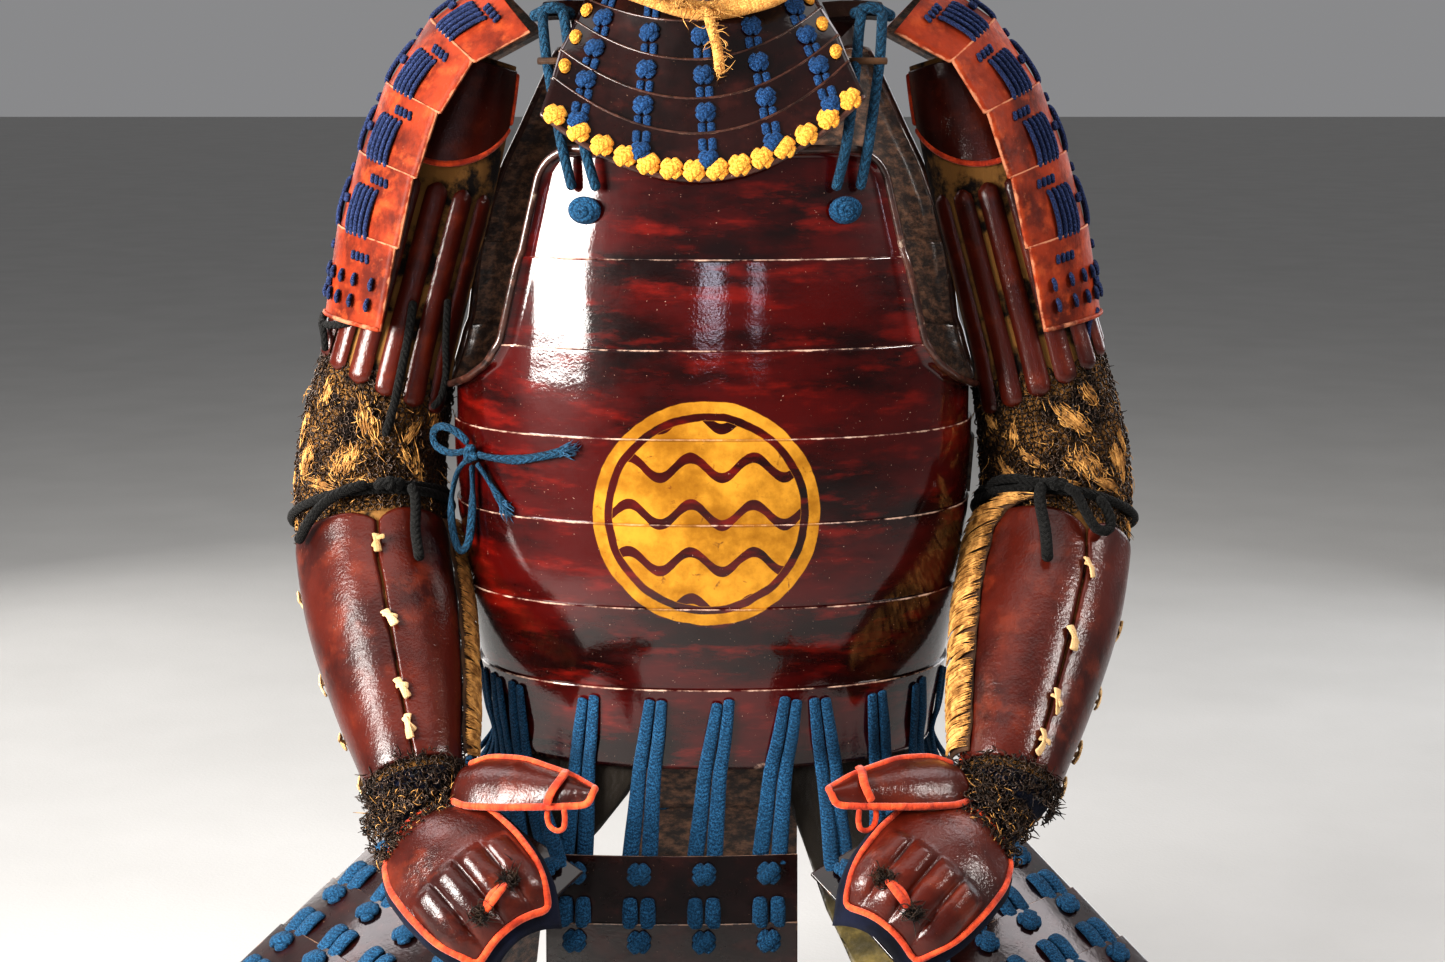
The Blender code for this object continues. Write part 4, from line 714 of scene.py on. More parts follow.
def stretched_to(rows, count):
    """Rows of vectors brought to this many rows, evenly."""
    rows = np.asarray(rows, float)
    at, own = np.linspace(0, 1, count), np.linspace(0, 1, len(rows))
    return np.stack([np.interp(at, own, rows[:, k]) for k in range(3)], -1)


def resampled(route, pace, end):
    """The route at an even pace, and closer at its ends when they are rounded."""
    run = run_along(route)
    total = run[-1]
    places = np.linspace(0, total, max(int(total / pace) + 1, 4))
    if end:
        near = np.minimum(np.array((0.0, 0.06, 0.25, 0.55, 1.0)) * end * 0.9, total * 0.45)
        middle = places[(places > near[-1] + pace * 0.4) & (places < total - near[-1] - pace * 0.4)]
        places = np.concatenate((near, middle, total - near[::-1]))
    return np.stack([np.interp(places, run, route[:, k]) for k in range(3)], -1)


def smooth(points, count):
    """A smooth curve through the points, as the solids have it."""
    p = np.asarray(points, float)
    at = np.linspace(0, len(p) - 1, count)
    i = np.minimum(at.astype(int), len(p) - 2)
    t = (at - i)[:, None]
    a, b, c, d = p[np.maximum(i - 1, 0)], p[i], p[i + 1], p[np.minimum(i + 2, len(p) - 1)]
    return b + 0.5 * ((c - a) * t + (2 * a - 5 * b + 4 * c - d) * t**2 + (3 * b - a - 3 * c + d) * t**3)


def mirrored(points, side):
    return np.asarray(points, float) * (side, 1, 1)


def softened(table, at, column, reach):
    """A table's column at these places, with its corners softened over this reach."""
    table = np.asarray(table)
    return sum(np.interp(at + d, table[:, 0], table[:, column]) for d in np.linspace(-reach, reach, 7)) / 7


def eased(value):
    value = np.clip(value, 0, 1)
    return value * value * (3 - 2 * value)


# share down a lame, and how worn it is there; on the red cuirass the worn colour at each lame's top edge is
# partly real wear and partly a painted highlight along the seam
LAME_SHARES = (
    (0.0, 1.0), (0.012, 0.95), (0.032, 0.4), (0.07, 0.0), (0.2, 0.0), (0.4, 0.0), (0.6, 0.0),
    (0.8, 0.0), (0.95, 0.0), (1.0, 0.5))


def lame_profile(edges, step=LAME_STEP):
    """(place, proud, wear) down a plated wall whose lower lames stand proud of the ones above; on the red
    lacquer the wear at the lames' top edges also paints the seams' highlight.
    """
    rows = []
    for number, (top, bottom) in enumerate(zip(edges, edges[1:])):
        for share, wear in LAME_SHARES:
            rise = step * (1 - share) if number else 0.0
            if share == 0 and number:
                rise -= 0.0006
            rows.append((top + (bottom - top) * share, rise, wear if number or share > 0.5 else 0.0))
    return np.array(rows)


def cuirass(degrees, height, proud=0.0):
    height = np.asarray(height, float)
    half, front, back = (softened(CUIRASS_SECTIONS, height, k, 0.012) for k in (1, 2, 3))
    angle = np.radians(degrees)
    sine, cosine = np.sin(angle), np.cos(angle)
    depth = np.where(cosine >= 0, front, back)
    x = half * np.sign(sine) * np.abs(sine) ** ROUNDNESS
    y = -depth * np.sign(cosine) * np.abs(cosine) ** ROUNDNESS
    power = 2 / ROUNDNESS - 1
    nx = np.sign(x) * np.abs(x / half) ** power / half
    ny = np.sign(y) * np.abs(y / depth) ** power / depth
    length = np.hypot(nx, ny)
    return np.stack(np.broadcast_arrays(x + nx / length * proud, y + ny / length * proud, height), -1)


def cuirass_face(degrees, height):
    return unit(cuirass(degrees, height, 0.01) - cuirass(degrees, height))


def angle_towards(lateral, azimuth, height):
    angles = np.linspace(azimuth - 75, azimuth + 75, 1500)
    sideways = np.array((math.cos(math.radians(azimuth)), math.sin(math.radians(azimuth)), 0))
    return float(np.interp(lateral, cuirass(angles, np.full(1500, height)) @ sideways, angles))


def make_cuirass(m):
    for name, top, table, middle in (
        ("cuirass_front", CUIRASS_TOP, FRONT_EDGE, 0.0), ("cuirass_back", BACK_TOP, BACK_EDGE, 180.0)
    ):
        share = np.linspace(-0.9, 0.9, 70 if name == "cuirass_front" else 40)
        share = np.concatenate((np.linspace(-1, -0.9, 8)[:-1], share, np.linspace(0.9, 1, 8)[1:]))
        edges = (top, *CUIRASS_SEAMS, CUIRASS_BOTTOM)
        rows = lame_profile(edges)
        extra = [(top - d, 0.0, 0.0) for d in (0.0012, 0.003, 0.0045, 0.0065, 0.01, 0.0135, 0.017)]
        for height in np.concatenate((np.linspace(-0.23, -0.2615, 14), (-0.2625,))):
            lame = next(i for i in range(1, 6) if edges[i] > height > edges[i + 1])
            above, below = edges[lame:lame + 2]
            extra.append((height, LAME_STEP * (height - below) / (above - below), 0.0))
        rows = np.array(sorted([*rows.tolist(), *extra], key=lambda row: (-row[0], row[1])))
        height, proud, wear = (rows[:, k][:, None] for k in range(3))
        edge = np.where(height < -0.2622, SIDE_ANGLE, np.interp(height, table[:, 0], table[:, 1]))
        flare = eased((np.abs(share)[None] - 0.9) / 0.1) ** 2 * (edge < SIDE_ANGLE)
        flare = np.maximum(flare, eased((height - top + 0.008) / 0.008) ** 2)
        points = cuirass(middle + share[None] * edge, height + 0 * share[None], proud + RIM_FLARE * flare)
        worn = np.maximum(wear + 0 * flare, np.where(flare > 0.5, 0.62 * flare, 0.0))
        worn = np.maximum(worn, 0.75 * (height < CUIRASS_BOTTOM + 0.003))
        Piece().grid(points, wear=worn).make(
            name, m["red"], True, "red_lacquer", PLATE, m["inner"], sharp=40)
        # the rolled rim round the armholes and over the top
        rim_edge = edge[:, 0] < SIDE_ANGLE
        bead = Piece()
        outline = np.concatenate((points[rim_edge][::-1, 0], points[0][1:-1], points[rim_edge][:, -1]))
        bead.tube(smooth_line(outline, 5), 0.0029, sides=8)
        bead.worn(0.55)
        bead.make(f"{name}_rim", m["rim"], slot="red_lacquer")
    recoat(m["iron"], "side_hinge")
    recoat(m["dark"], "shoulder_strap_left", "shoulder_strap_right")


def smooth_line(points, reach):
    """Points along an outline without its small steps."""
    points = resampled(np.asarray(points, float), 0.003, 0)
    kernel = np.hanning(reach + 2)[1:-1]
    padded = np.pad(points, ((reach // 2, reach // 2), (0, 0)), mode="edge")
    return np.stack([np.convolve(padded[:, k], kernel / kernel.sum(), "valid") for k in range(3)], -1)


def cross_knot(piece, centre, face, along, size, thick=None):
    """Two short broad braids that cross over each other."""
    face, along = unit(face), unit(along)
    across = np.cross(face, along)
    thick = thick or size * 0.15
    for turn, lift in ((1, 0.0), (-1, thick * 0.7)):
        slant = unit(along * 0.9 + across * turn)
        t = np.linspace(-1, 1, 9)
        route = (centre + slant * (t * size * 0.6)[:, None]
                 + face * ((lift + thick) * np.cos(t * 1.3) + 0.0002)[:, None])
        piece.tube(route, size * 0.35, thick, face, sides=8, square=0.6)


def oval_knot(piece, centre, face, up, half_wide, half_high, thick):
    """A round knot of coiled braid."""
    face = unit(face)
    up = unit(np.asarray(up, float) - face * np.dot(up, face))
    across = np.cross(up, face)
    turns = 2.6
    t = np.linspace(0.0, 1.0, 60)
    angle = t * turns * 2 * math.pi
    reach = (1 - t * 0.92)[:, None]
    coil = across * half_wide * np.cos(angle)[:, None] + up * half_high * np.sin(angle)[:, None]
    route = centre + coil * reach * 0.8 + face * (thick * (0.35 + 0.65 * t))[:, None]
    piece.tube(route, half_high * 0.24, half_high * 0.24, sides=8)
    dome_t = np.linspace(0.02, 1, 8)[:, None]
    turn = np.linspace(0, 2 * math.pi, 24, endpoint=False)
    rim = across * half_wide * np.cos(turn)[:, None] + up * half_high * np.sin(turn)[:, None]
    rise = (thick * np.sqrt(1 - 0.96 * dome_t**2))[..., None]
    dome = centre + rim[None] * (0.96 * dome_t)[..., None] + face * rise
    piece.grid(dome, True)


def make_chest_cords(m):
    for side, word in SIDES:
        shift = np.array(CHEST_CORD_SHIFT[side])
        piece = Piece()
        for route in (CHEST_CORD_INNER, CHEST_CORD_OUTER):
            points = mirrored(route, side)
            share = np.clip(points[:, 2] / CHEST_CORD_INNER[0][2], 0, 1)
            points = points + shift * share[:, None]
            piece.tube(smooth(points, 40), 0.0037, sides=12)
        start, end = (mirrored(route[-1], side) for route in (CHEST_CORD_INNER, CHEST_CORD_OUTER))
        piece.tube(np.linspace(start, end, 4), 0.0037, sides=12)
        reach = end - start
        over = np.array([start - reach * 0.9, start, (start + end) / 2, end, end + reach * 1.1])
        piece.tube(smooth(over + CHEST_BAR_LIFT, 16), 0.0042, sides=10)
        piece.make(f"chest_cord_{word}", m["chest"], True, "blue_cord")
        angle = angle_towards(KNOT_X[side], 0.0, KNOT_HEIGHT)
        face = cuirass_face(angle, KNOT_HEIGHT)
        centre = cuirass(angle, KNOT_HEIGHT)
        knot = Piece()
        oval_knot(knot, centre + face * 0.0016, face, (0, 0, 1), 0.0127, 0.01, 0.0064)
        knot.make(f"chest_knot_{word}", m["teal"], True, "blue_cord")
        band = Piece()
        inner, outer = (mirrored(route[CHEST_BAND_ROW], side)
                        for route in (CHEST_CORD_INNER, CHEST_CORD_OUTER))
        middle = (inner + outer) / 2
        half = np.linalg.norm(outer - inner) / 2
        t = np.linspace(0, 2 * math.pi, 30)
        ring = middle + np.stack((np.cos(t) * (half + 0.0047), np.sin(t) * 0.005, 0 * t), -1)
        band.tube(ring, 0.0008, 0.0024, (0, 0, 1), sides=8, round_ends=False)
        band.make(f"chest_cord_band_{word}", m["strap"], slot="blue_cord")


def head_turn():
    pivot = Vector((0, 0, CUIRASS_TOP))
    turn = Euler((0, math.radians(HEAD_TILT), 0)).to_matrix().to_4x4()
    return Matrix.Translation(pivot + Vector((HEAD_SHIFT, 0, 0))) @ turn @ Matrix.Translation(-pivot)


def throat(u, place, proud=0.0):
    """place counts the lames' edges."""
    height, half, front, back, rise = row_at(THROAT_LAMES, place)
    return np.stack(np.broadcast_arrays(half * u, front - proud + back * u * u, height + rise * u * u), -1)


def throat_face(u, place):
    a = throat(u + 0.01, place) - throat(u - 0.01, place)
    b = throat(u, place + 0.05) - throat(u, place - 0.05)
    face = unit(np.cross(a, b))
    return face if face[1] < 0 else -face


def make_throat_guard(m, turn):
    u = np.linspace(-1, 1, 71)
    rows = lame_profile(range(len(THROAT_LAMES)))
    points = throat(u[None], rows[:, :1], rows[:, 1:2])
    side_wear = np.where(np.abs(u) > 0.985, 0.8, 0.0)[None]
    Piece().grid(points, wear=np.maximum(rows[:, 2:], side_wear) * 0.9).make(
        "throat_guard", m["dark"], True, "dark_lacquer", THIN_PLATE, m["inner"], turn, 40)
    edge = Piece()
    edge.tube(throat(u, 4.985, 0.0012), 0.0021, sides=8)
    for lame in range(1, 5):
        edge.tube(throat(u, lame - 0.015, 0.0016), 0.001, sides=6)
    edge.worn(0.5)
    edge.make("throat_guard_rim", m["rim"], slot="dark_lacquer", turn=turn)
    yellow, blue = Piece(), Piece()
    for u in np.linspace(-0.925, 0.925, 14):
        centre = throat(u, 4.8, 0.0006)
        cross_knot(yellow, centre, throat_face(u, 4.8), throat(u, 4.7) - throat(u, 4.9), 0.0132)
    for lame in range(5):
        for u in (-0.945, 0.945) if lame < 4 else ():
            place = lame + 0.42
            oval_knot(yellow, throat(u, place, 0.0012), throat_face(u, place), (0, 0, 1),
                      0.0042, 0.006, 0.003)
        for u in THROAT_COLUMNS:
            place = lame + (0.56 if lame == 4 else 0.4)
            up = throat(u, place - 0.1) - throat(u, place + 0.1)
            centre, face = throat(u, place, 0.0012), throat_face(u, place)
            if lame:
                cross_knot(blue, centre, face, up, 0.0118)
            across = unit(np.cross(face, up))
            if lame < 4:
                for shift in (-0.0032, 0.0032):
                    start = throat(u, lame + (0.68 if lame else 0.3), 0.0016) + across * shift
                    end = throat(u, lame + 1.03, 0.0004) + across * shift
                    blue.tube(np.linspace(start, end, 6), 0.0027, 0.0016, face, sides=8)
            else:
                for shift in (-0.0034, 0.0034):
                    start, end = throat(u, 4.1, 0.0026), throat(u, 4.38, 0.002)
                    blue.tube(np.linspace(start, end, 5) + across * shift, 0.0028, 0.0016, face, sides=8)
    yellow.make("throat_guard_yellow_knots", m["yellow"], slot="yellow_cord", turn=turn)
    blue.make("throat_guard_lacing", m["knot"], slot="blue_cord", turn=turn)


def threads(piece, lines, radius):
    """Thin threads, each along a line of points; lines are (number, points, 3)."""
    tangent = unit(np.gradient(lines, axis=1))
    a = unit(np.cross(tangent, (0.3, 0.5, 0.8)))
    b = np.cross(tangent, a)
    size = (radius * (1 - 0.65 * np.abs(np.linspace(-1, 1, lines.shape[1])) ** 4))[None, :, None]
    piece.many(np.stack([lines + size * (a * math.cos(q) + b * math.sin(q)) for q in THIRDS], 2))


def frayed(piece, roots, ways, length, radius, curl=0.5, points=5):
    """Loose threads that leave their roots these ways and curl."""
    count = len(roots)
    length = (length * RNG.uniform(0.5, 1.2, count))[:, None, None]
    t = np.linspace(0, 1, points)[None, :, None]
    wander, second = RNG.normal(0, curl, (2, count, 1, 3))
    threads(piece, roots[:, None] + length * (
        unit(ways)[:, None] * t + wander * t**2 * 0.6 + second * np.sin(t * math.pi) * 0.3), radius)


def make_head(m):
    turn = head_turn()
    make_throat_guard(m, turn)
    columns = np.linspace(0, 360, 100, endpoint=False)
    table = np.array(HELMET_PROFILE)
    rise = smooth(np.column_stack((table, table[:, 0])), 24)
    rows = []
    for height, share, _ in rise:
        a = np.radians(columns)
        rib = 0.0018 * share * np.abs(np.sin(a * 10 / 2)) ** 6
        rows.append(np.stack(((HELMET_HALF_WIDTH * share + rib) * np.sin(a),
                              HELMET_CENTRE + (HELMET_HALF_DEPTH * share + rib) * np.cos(a),
                              HELMET_RIM + height + 0 * a), -1))
    wear = np.zeros((len(rows), 100))
    wear[0] = 0.7
    Piece().grid(rows, True, wear=wear).make(
        "helmet_bowl", m["dark"], True, "dark_lacquer", PLATE, m["inner"], turn)
    a = np.radians(np.linspace(-NECK_SPREAD, NECK_SPREAD, 120))
    profile = lame_profile(range(len(NECK_LAMES)))
    rows = []
    for place, proud, _ in profile:
        height, half, depth = row_at(NECK_LAMES, place)
        rows.append(np.stack((
            (half + proud) * np.sin(a), HELMET_CENTRE + (depth + proud) * np.cos(a), height + 0 * a), -1))
    Piece().grid(rows[::-1], wear=profile[::-1, 2:] * 0.9).make(
        "neck_guard", m["dark"], True, "dark_lacquer", THIN_PLATE, m["inner"], turn, 40)
    lacing = Piece()
    for lame in range(3):
        for degrees in np.linspace(-100, 100, 11):
            q = math.radians(degrees)
            line = []
            for place, off in ((lame + 0.45, 0.0028), (lame + 0.7, 0.0034), (lame + 0.98, 0.0022)):
                height, half, depth = row_at(NECK_LAMES, place)
                line.append(((half + off) * math.sin(q), HELMET_CENTRE + (depth + off) * math.cos(q), height))
            face = (math.sin(q), math.cos(q), 0)
            for shift in (-0.004, 0.004):
                beside = np.array((math.cos(q), -math.sin(q), 0)) * shift
                lacing.tube(np.array(line) + beside, 0.0034, 0.0016, face, sides=8)
    lacing.make("neck_guard_lacing", m["teal"], slot="blue_cord", turn=turn)
    recoat(m["dark"], "helmet_visor", "jaw_mask")
    Piece().tube(smooth(CHIN_CORD_ROUTE, 120), CHIN_CORD_RADIUS, sides=20).make(
        "chin_cord", m["wrapped"], True, "yellow_cord", turn=turn)
    make_cord("chin_cord_end", smooth(CHIN_END_ROUTE, 8), 0.0036, m["wrapped"], "yellow_cord", turn)
    tufts = Piece()
    for route, count in ((CHIN_END_ROUTE, 60), (((-0.046, -0.1185, 0.03), (-0.012, -0.12, 0.012)), 110),
                         (((-0.012, -0.12, 0.012), (0.014, -0.12, 0.006)), 60)):
        line = smooth(route, count) + RNG.normal(0, 0.0018, (count, 3)) + (0, -0.002, 0)
        ways = np.array((0.35, -0.4, -0.45)) + RNG.normal(0, 0.55, (count, 3))
        frayed(tufts, line, ways, 0.0085, 0.00042, curl=0.7)
    tufts.make("chin_cord_tufts", m["silk"], slot="yellow_cord", turn=turn)


def make_cord(name, route, radius, material, slot, turn=None, faces=None):
    """A free cord of this radius along a route."""
    path = resampled(turned(np.asarray(route, float), turn), 0.003, 0)
    if faces is None:
        piece = Piece().tube(path, radius, sides=12)
    else:
        piece = Piece().tube(path, radius * 1.05, radius * 0.62, faces, sides=12)
    made = piece.make(name, material, True, slot)
    return made


def guard(row, v, side, off=0.0):
    """A point of a shoulder guard: row counts the lames' edges, v goes from front to back."""
    mx, mz, ex, ez = row_at(GUARD_LAMES, row)
    v = np.asarray(v, float)
    return np.stack(np.broadcast_arrays(
        side * (mx + off - (mx - ex) * v * v), GUARD_HALF * v, mz + 0.3 * off - (mz - ez) * v * v), -1)


def make_shoulder_guards(m):
    v = np.linspace(-1, 1, 41)
    for side, word in SIDES:
        rows = lame_profile(range(len(GUARD_LAMES)))
        points = guard(rows[:, :1], v[None], side, rows[:, 1:2])
        ends = np.where(np.abs(v) > 0.96, 0.9, 0.0)[None]
        Piece().grid(facing(points, side), wear=np.maximum(rows[:, 2:], ends)).make(
            f"shoulder_guard_{word}", m["orange"], True, "orange_lacquer",
            THIN_PLATE, m["inner"], sharp=40)
        lacing = Piece()
        for centre, count in GUARD_BUNDLES:
            for lame in range(4):
                for n in range(count):
                    at = centre + (n - (count - 1) / 2) * 0.062
                    line = [guard(lame + share, at, side, off) for share, off in GUARD_STRAND]
                    lacing.tube(smooth(line, 10), 0.0023, 0.0019, (side, 0, 0.4), sides=6)
        for lame in range(5):
            for centre, high, strands in GUARD_STITCHES:
                for n in range(strands):
                    at = centre + n * 0.052
                    spot = guard(lame + high, at, side, LAME_STEP * 0.7)
                    up = guard(lame + high - 0.1, at + 0.03, side) - guard(lame + high + 0.1, at, side)
                    lacing.tube(spot + unit(up) * np.linspace(-0.0035, 0.0035, 4)[:, None]
                                + np.array((side, 0, 0.3)) * 0.0012, 0.0021, 0.0018, (side, 0, 0.4), sides=6)
        for share in (0.5, 0.74):
            for at in np.linspace(-0.88, 0.88, 11):
                cross_knot(lacing, guard(4 + share, at, side, 0.0014), (side, 0, 0.3),
                           guard(4.3, at, side) - guard(4.7, at, side), 0.0086)
        lacing.make(f"shoulder_guard_lacing_{word}", m["royal"], slot="blue_cord")
        rim = Piece()
        rim.tube(guard(np.full(41, 4.985), v, side, 0.0004), 0.0017, sides=8)
        rim.worn(0.8)
        rim.make(f"shoulder_guard_rim_{word}", m["orange"], slot="orange_lacquer")
        Piece().tube(smooth(mirrored(GUARD_CORD_ROUTE, side), 24), 0.003, sides=12).make(
            f"shoulder_guard_cord_{word}", m["teal"], True, "blue_cord")
        if side > 0:
            tail = Piece()
            for shift in (-0.004, 0.0, 0.004):
                line = [guard(4.92, -0.3, 1, 0.001)] + [
                    (0.272 - 0.001 * n, -0.026 - 0.0012 * n + shift, -0.214 - 0.0135 * n) for n in range(4)]
                tail.tube(smooth(line, 14), 0.0022, sides=8)
            tail.make("shoulder_guard_lacing_tail", m["royal"], slot="blue_cord")


def arm_table():
    """Centre, forward, outward and radius at closely spaced places down the left arm."""
    at = np.linspace(0, ARM_END, 651)
    rings = smooth(ARM_RINGS, 651)
    along = unit(np.gradient(rings[:, :3], axis=0))
    forward = np.array((0.0, -1.0, 0.0))
    forward = unit(forward - along * (along @ forward)[:, None])
    outward = np.cross(along, forward)
    outward *= np.where(outward[:, :1] < 0, -1, 1)
    return at, np.column_stack((rings[:, :3], forward, outward, rings[:, 3]))


ARM_AT, ARM_TABLE = arm_table()


def arm(at, degrees, side, off=0.0):
    at, degrees, off = np.broadcast_arrays(at, degrees, off)
    row = np.stack([np.interp(at, ARM_AT, ARM_TABLE[:, k]) for k in range(10)], -1)
    angle = np.radians(degrees)[..., None]
    outward = row[..., 3:6] * np.cos(angle) + row[..., 6:9] * np.sin(angle)
    return (row[..., :3] + outward * (row[..., 9] + off)[..., None]) * (side, 1, 1)


def arm_face(at, degrees, side):
    return unit(arm(at, degrees, side, 0.01) - arm(at, degrees, side))


def arm_plate(m, name, side, tops, bottoms, angles, lift, thickness, steps, piping=()):
    share = np.concatenate(((0.0, 0.008, 0.02), np.linspace(0.04, 0.96, steps), (0.98, 0.992, 1.0)))[:, None]
    at = np.asarray(tops) + (np.asarray(bottoms) - np.asarray(tops)) * share
    across = np.linspace(0, 1, len(angles))[None]
    rolled = np.minimum(np.minimum(across, 1 - across) * 30, np.minimum(share, 1 - share) * 60)
    dip = -0.001 * (1 - np.clip(rolled, 0, 1)) ** 2
    points = arm(at, np.asarray(angles)[None], side, thickness + PLATE_LIFT + np.asarray(lift)[None] + dip)
    wear = np.clip(1 - rolled, 0, 1) * 0.85
    points, wear = facing(points, side), facing(wear, side)
    Piece().grid(points, wear=wear).make(name, m["russet"], True, "russet_lacquer", thickness, sharp=50)
    if piping:
        trim = Piece()
        for edge in piping:
            line = {"top": points[0], "foot": points[-1], "low": points[:, 0 if side > 0 else -1],
                    "high": points[:, -1 if side > 0 else 0]}[edge]
            trim.tube(smooth_line(line, 5), 0.0024, sides=8)
        trim.make(f"{name}_piping", m["piping"], slot="russet_lacquer")


def make_arms(m):
    for side, word in SIDES:
        at = np.linspace(0, ARM_END, 90)[:, None]
        degrees = np.linspace(0, 360, 44, endpoint=False)[None]
        angle = np.radians(degrees)
        crumple = 0.0009 * np.sin(at * 9 + angle * 3) * np.sin(at * 4.1 - angle * 2)
        crumple = crumple * np.exp(-((at - 5.9) / 1.3) ** 2)
        points = arm(at, degrees, side, crumple)
        sleeve = Piece().grid(facing(points, side), True).make(
            f"sleeve_{word}", m["sleeve"], True, "sleeve_cloth", CLOTH)

        angles = np.linspace(-78, 90, 57)
        bottoms = 0.9 + 0.85 * np.cos(np.radians(angles - 11) * 0.9)
        arm_plate(m, f"shoulder_cap_{word}", side, np.full(57, 0.15), bottoms, angles, np.zeros(57),
                  THIN_PLATE, 20, ("foot", "low", "high"))

        ribs = Piece()
        width = (SPLINT_ANGLES[1] - SPLINT_ANGLES[0]) / SPLINTS
        for n in range(SPLINTS):
            middle = SPLINT_ANGLES[0] + width * (n + 0.5)
            q = np.linspace(-1, 1, 15)
            share = np.concatenate(((0, 0.01, 0.03), np.linspace(0.06, 0.94, 18), (0.97, 0.99, 1)))[:, None]
            ends = np.sqrt(np.clip(np.minimum(share, 1 - share) / 0.035, 0.03, 1))
            foot = SPLINT_FOOT - SPLINT_SKEW * middle
            spine = SPLINT_TOP + (foot - SPLINT_TOP) * share
            off = 0.0016 + 0.0046 * np.sqrt(np.clip(1 - (q * 0.98) ** 2, 0, 1))[None] * ends
            grid = arm(spine, middle + width * 0.4 * q[None] * ends, side, off)
            ribs.grid(facing(grid, side), wear=np.where(ends < 0.6, 0.5, 0.0) + 0 * q[None])
        ribs.make(f"upper_splints_{word}", m["russet"], True, "russet_lacquer")

        inner, groove, outer = FOREARM_ANGLES[side]
        for name, low, high, piping in (
            ("forearm_inner", inner, groove - PLATE_SEAM / 2, ("low",) if side > 0 else ()),
            ("forearm_outer", groove + PLATE_SEAM / 2, outer, ()),
            ("forearm_back", outer + PLATE_SEAM, BACK_PLATE_END, ()),
        ):
            angles = np.linspace(low, high, 49)
            crown = 4 * np.linspace(0, 1, 49) * np.linspace(1, 0, 49)
            arm_plate(m, f"{name}_{word}", side, FOREARM_TOP + FOREARM_NOTCH * (1 - crown) ** 2,
                      np.full(49, FOREARM_BOTTOM), angles, FOREARM_CROWN * crown, PLATE, 30, piping)
        make_arm_trim(m, side, word, make_mail(m, side, word))


def make_mail(m, side, word):
    """Linked rings over the sleeve at the elbow, the upper arm, the forearm's inner strip and the wrist."""
    run = run_along(ARM_TABLE[:, :3])
    spots = []
    for number, distance in enumerate(np.arange(0.05, run[-1], RING_PITCH * 0.84)):
        at = np.interp(distance, run, ARM_AT)
        radius = np.interp(at, ARM_AT, ARM_TABLE[:, 9])
        count = int(2 * math.pi * radius / RING_PITCH)
        for n in range(count):
            degrees = -180 + (n + 0.5 * (number % 2)) * 360 / count
            elbow = 4.2 < at < 7.5 and -118 < degrees < 122
            strip = 7.5 <= at < 12.4 and -140 < degrees < FOREARM_ANGLES[side][0] - 22 and number % 2
            wrist = at > 12.3 and -100 < degrees < 104
            if elbow or strip or wrist:
                spots.append((at, degrees))
    at, degrees = np.array(spots).T
    at = at + RNG.normal(0, 0.012, len(at))
    degrees = degrees + RNG.normal(0, 0.5, len(at))
    piece = Piece()
    down = unit(arm(np.minimum(at + 0.05, ARM_END), degrees, side) - arm(at - 0.05, degrees, side))
    over_cloth = 0.0036 * eased((at - 12.25) / 0.15)
    off = RNG.uniform(0.0008, 0.0024, len(at)) + over_cloth
    rings(piece, arm(at, degrees, side, off), arm_face(at, degrees, side), down)
    centre, fingers, thumbward, face = hand_frame(side)
    place, across = (v.ravel() for v in np.meshgrid(
        np.arange(-0.084, -0.044, RING_PITCH * 0.62), np.arange(-1.0, 1.01, 0.105)))
    across = across + RNG.normal(0, 0.04, len(across))
    place = place + RNG.normal(0, 0.0007, len(place))
    wide = np.interp(place, (-0.082, -0.046), (0.027, 0.036))
    roots = (centre + place[:, None] * fingers + (across * wide)[:, None] * thumbward
             + (0.0066 - 0.012 * across**2 + 0.004 * (place < -0.06))[:, None] * face)
    rings(piece, roots, np.broadcast_to(face, roots.shape), np.broadcast_to(fingers, roots.shape))
    piece.make(f"mail_{word}", m["mail"], slot="iron")
    return roots


def rings(piece, centre, face, down):
    """Small rings, each tilted to one side or the other."""
    count = len(centre)
    tilt = RNG.normal(0.6, 0.25, count) * RNG.choice((-1, 1), count)
    spin = RNG.normal(0, 0.5, count)
    across = np.cross(down, face)
    lean = down * np.sin(spin)[:, None] + across * np.cos(spin)[:, None]
    normal = unit(face * np.cos(tilt)[:, None] + lean * np.sin(tilt)[:, None])
    a = unit(np.cross(normal, (0.2, 0.9, 0.3)))
    b = np.cross(normal, a)
    turn = np.linspace(0, 2 * math.pi, 8)
    radial = a[:, None] * np.cos(turn)[None, :, None] + b[:, None] * np.sin(turn)[None, :, None]
    middle = centre[:, None] + radial * RING_RADIUS
    wire = [radial * math.cos(q) + normal[:, None] * math.sin(q) for q in THIRDS]
    piece.many(np.stack([middle + RING_WIRE * around for around in wire], 2))


